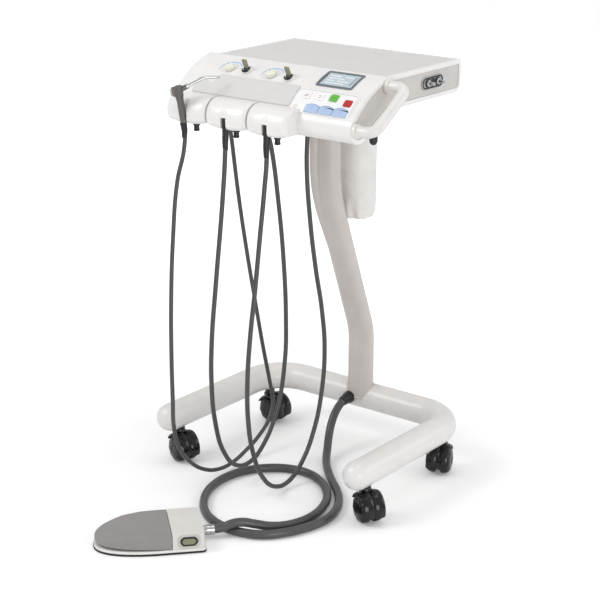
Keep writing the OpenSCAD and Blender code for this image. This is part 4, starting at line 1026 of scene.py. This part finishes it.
def make_ports():
    """The oval seat and the two knurled collars on the port plate."""
    soften("port_plate", 0.6)
    plate = Matrix.Translation((HALF_W, PORTS_Y, PORT_Z)) @ Matrix.Rotation(math.pi / 2, 4, "Z")
    plate = plate @ Matrix.Rotation(math.pi / 2, 4, "X")
    bm = bmesh.new()
    add_strip(bm, flat_surface(plate), rounded_path((0, 0), (70, 20), 9.8), 3.2, 1.2, 2.35)
    for u in (-PORT_APART, 0, PORT_APART):
        add_lathe(bm, plate @ Matrix.Translation((u, 0, 0)), PORT_SEAT, 36)
    piece("port_seat", bm, "dark_plastic")
    bm = bmesh.new()
    for y in (PORTS_Y - PORT_APART, PORTS_Y + PORT_APART):
        turn = Matrix.Translation((HALF_W, y, PORT_Z)) @ Matrix.Rotation(math.pi / 2, 4, "Y")
        add_lathe(bm, turn, PORT_COLLAR, 60, 20, 0.03)
    piece("port_collars", bm, "bright_metal")


make_bottle()
make_filter()
make_ports()

# ---------------------------------------------------------------- foot control

PEDAL_HALF_W = 63
PEDAL_TURN = Matrix.Translation((*PEDAL_AT, 0)) @ Matrix.Rotation(PEDAL_HEADING, 4, "Z")
FERRULE = [
    (9.4, -7), (10.6, -6), (10.6, -0.5), (9.8, 0.4), (9.8, 2.6), (10.8, 3.4), (10.8, 9), (9.8, 10),
    (9.2, 18),
]
BUTTON_AT = (34, PEDAL_HALF_W - 3.2, 25)


def make_foot_control():
    soften_all({
        "pedal_sole": 0.8, "pedal_base": 1.4, "pedal_tail": 3.0, "pedal_treadle": 2.4, "pedal_button": 0.8,
    })
    bm = bmesh.new()
    fitting = PEDAL_TURN @ Matrix.Translation((-FITTING_L, 0, FITTING_Z))
    add_lathe(bm, fitting @ Matrix.Rotation(math.pi / 2, 4, "Y"), FERRULE, 36)
    piece("foot_hose_ferrule", bm, "bright_metal")
    bm = bmesh.new()
    sleeve(bm, [(-15, 151, 104), (-15, 139, 103), (-15, 124, 100.4)], (13.6, 9.7), 6, 0.5)
    piece("foot_gland_cone", bm, "dark_plastic")
    near = flat_surface(PEDAL_TURN @ Matrix.Translation(BUTTON_AT) @ Matrix.Rotation(-math.pi / 2, 4, "X"))
    bm = bmesh.new()
    add_strip(bm, near, rounded_path((0, 0), (40, 24), 7), 4.0, -0.8, 1.3)
    piece("button_frame", bm, "pedal_light", material=MATERIALS["grey_shell"])
    bm = bmesh.new()
    add_strip(bm, near, rounded_path((0, 0), (31, 16), 8), 3.4, -0.8, 1.5)
    piece("button_well", bm, "dark_plastic")


make_foot_control()

# ---------------------------------------------------------------- studio


FLOOR_SIZE = 6
FLOOR_DROP = 0.0004
FADE_FROM, FADE_TO = (0.5, 2.2), (0.12, 0.6)
WORLD_LIGHT = 0.68
WHITE = (1, 1, 1, 1)
# Each lamp's place, aim, size in metres and power in watts.
LAMPS = {
    "key": ((-1500, -1900, 2500), (0, 0, 450), 1.3, 30),
    "top": ((200, 300, 2700), (0, 0, 500), 1.3, 7),
    "rim": ((1900, 1500, 1300), (0, 0, 500), 1.4, 10),
    "fill": ((2300, -1500, 700), (0, -50, 350), 1.2, 16),
}


def whiten(material):
    """Lets the floor fade to white away from the object, for the camera alone."""
    tree = material.node_tree
    shader = tree.nodes["Principled BSDF"]
    where = tree.nodes.new("ShaderNodeTexCoord")
    length = tree.nodes.new("ShaderNodeVectorMath")
    length.operation = "LENGTH"
    fade = tree.nodes.new("ShaderNodeMapRange")
    fade.inputs["From Min"].default_value, fade.inputs["From Max"].default_value = FADE_FROM
    fade.inputs["To Min"].default_value, fade.inputs["To Max"].default_value = FADE_TO
    rays = tree.nodes.new("ShaderNodeLightPath")
    seen = tree.nodes.new("ShaderNodeMath")
    seen.operation = "MULTIPLY"
    link(tree, where.outputs["Object"], length.inputs[0])
    link(tree, length.outputs["Value"], fade.inputs["Value"])
    link(tree, fade.outputs["Result"], seen.inputs[0])
    link(tree, rays.outputs["Is Camera Ray"], seen.inputs[1])
    link(tree, seen.outputs["Value"], shader.inputs["Emission Strength"])
    shader.inputs["Emission Color"].default_value = WHITE


def make_floor():
    bm = bmesh.new()
    bmesh.ops.create_grid(bm, x_segments=24, y_segments=24, size=FLOOR_SIZE)
    mesh = bpy.data.meshes.new("floor")
    bm.to_mesh(mesh)
    bm.free()
    floor = bpy.data.objects.new("floor", mesh)
    floor.location.z = -FLOOR_DROP
    SCENE.collection.objects.link(floor)
    whiten(FLOOR)
    mesh.materials.append(FLOOR)


def make_lamps():
    for name, (at, aim, size, power) in LAMPS.items():
        lamp = bpy.data.lights.new(name, "AREA")
        lamp.energy = power
        lamp.size = size
        holder = bpy.data.objects.new(name, lamp)
        start, end = place(*at), place(*aim)
        turn = (end - start).to_track_quat("-Z", "Y").to_matrix().to_4x4()
        holder.matrix_world = Matrix.Translation(start) @ turn
        SCENE.collection.objects.link(holder)


def make_world():
    """A white background for the camera and a softer light for everything else."""
    world = bpy.data.worlds.new("studio")
    world.use_nodes = True
    tree = world.node_tree
    tree.nodes.clear()
    output = tree.nodes.new("ShaderNodeOutputWorld")
    mix = tree.nodes.new("ShaderNodeMixShader")
    dim = tree.nodes.new("ShaderNodeBackground")
    dim.inputs["Color"].default_value = WHITE
    dim.inputs["Strength"].default_value = WORLD_LIGHT
    white = tree.nodes.new("ShaderNodeBackground")
    white.inputs["Color"].default_value = WHITE
    white.inputs["Strength"].default_value = 1.0
    rays = tree.nodes.new("ShaderNodeLightPath")
    link(tree, rays.outputs["Is Camera Ray"], mix.inputs["Fac"])
    link(tree, dim.outputs["Background"], mix.inputs[1])
    link(tree, white.outputs["Background"], mix.inputs[2])
    link(tree, mix.outputs["Shader"], output.inputs["Surface"])
    SCENE.world = world


make_floor()
make_lamps()
make_world()
SCENE.view_settings.view_transform = "Standard"

bpy.context.view_layer.update()
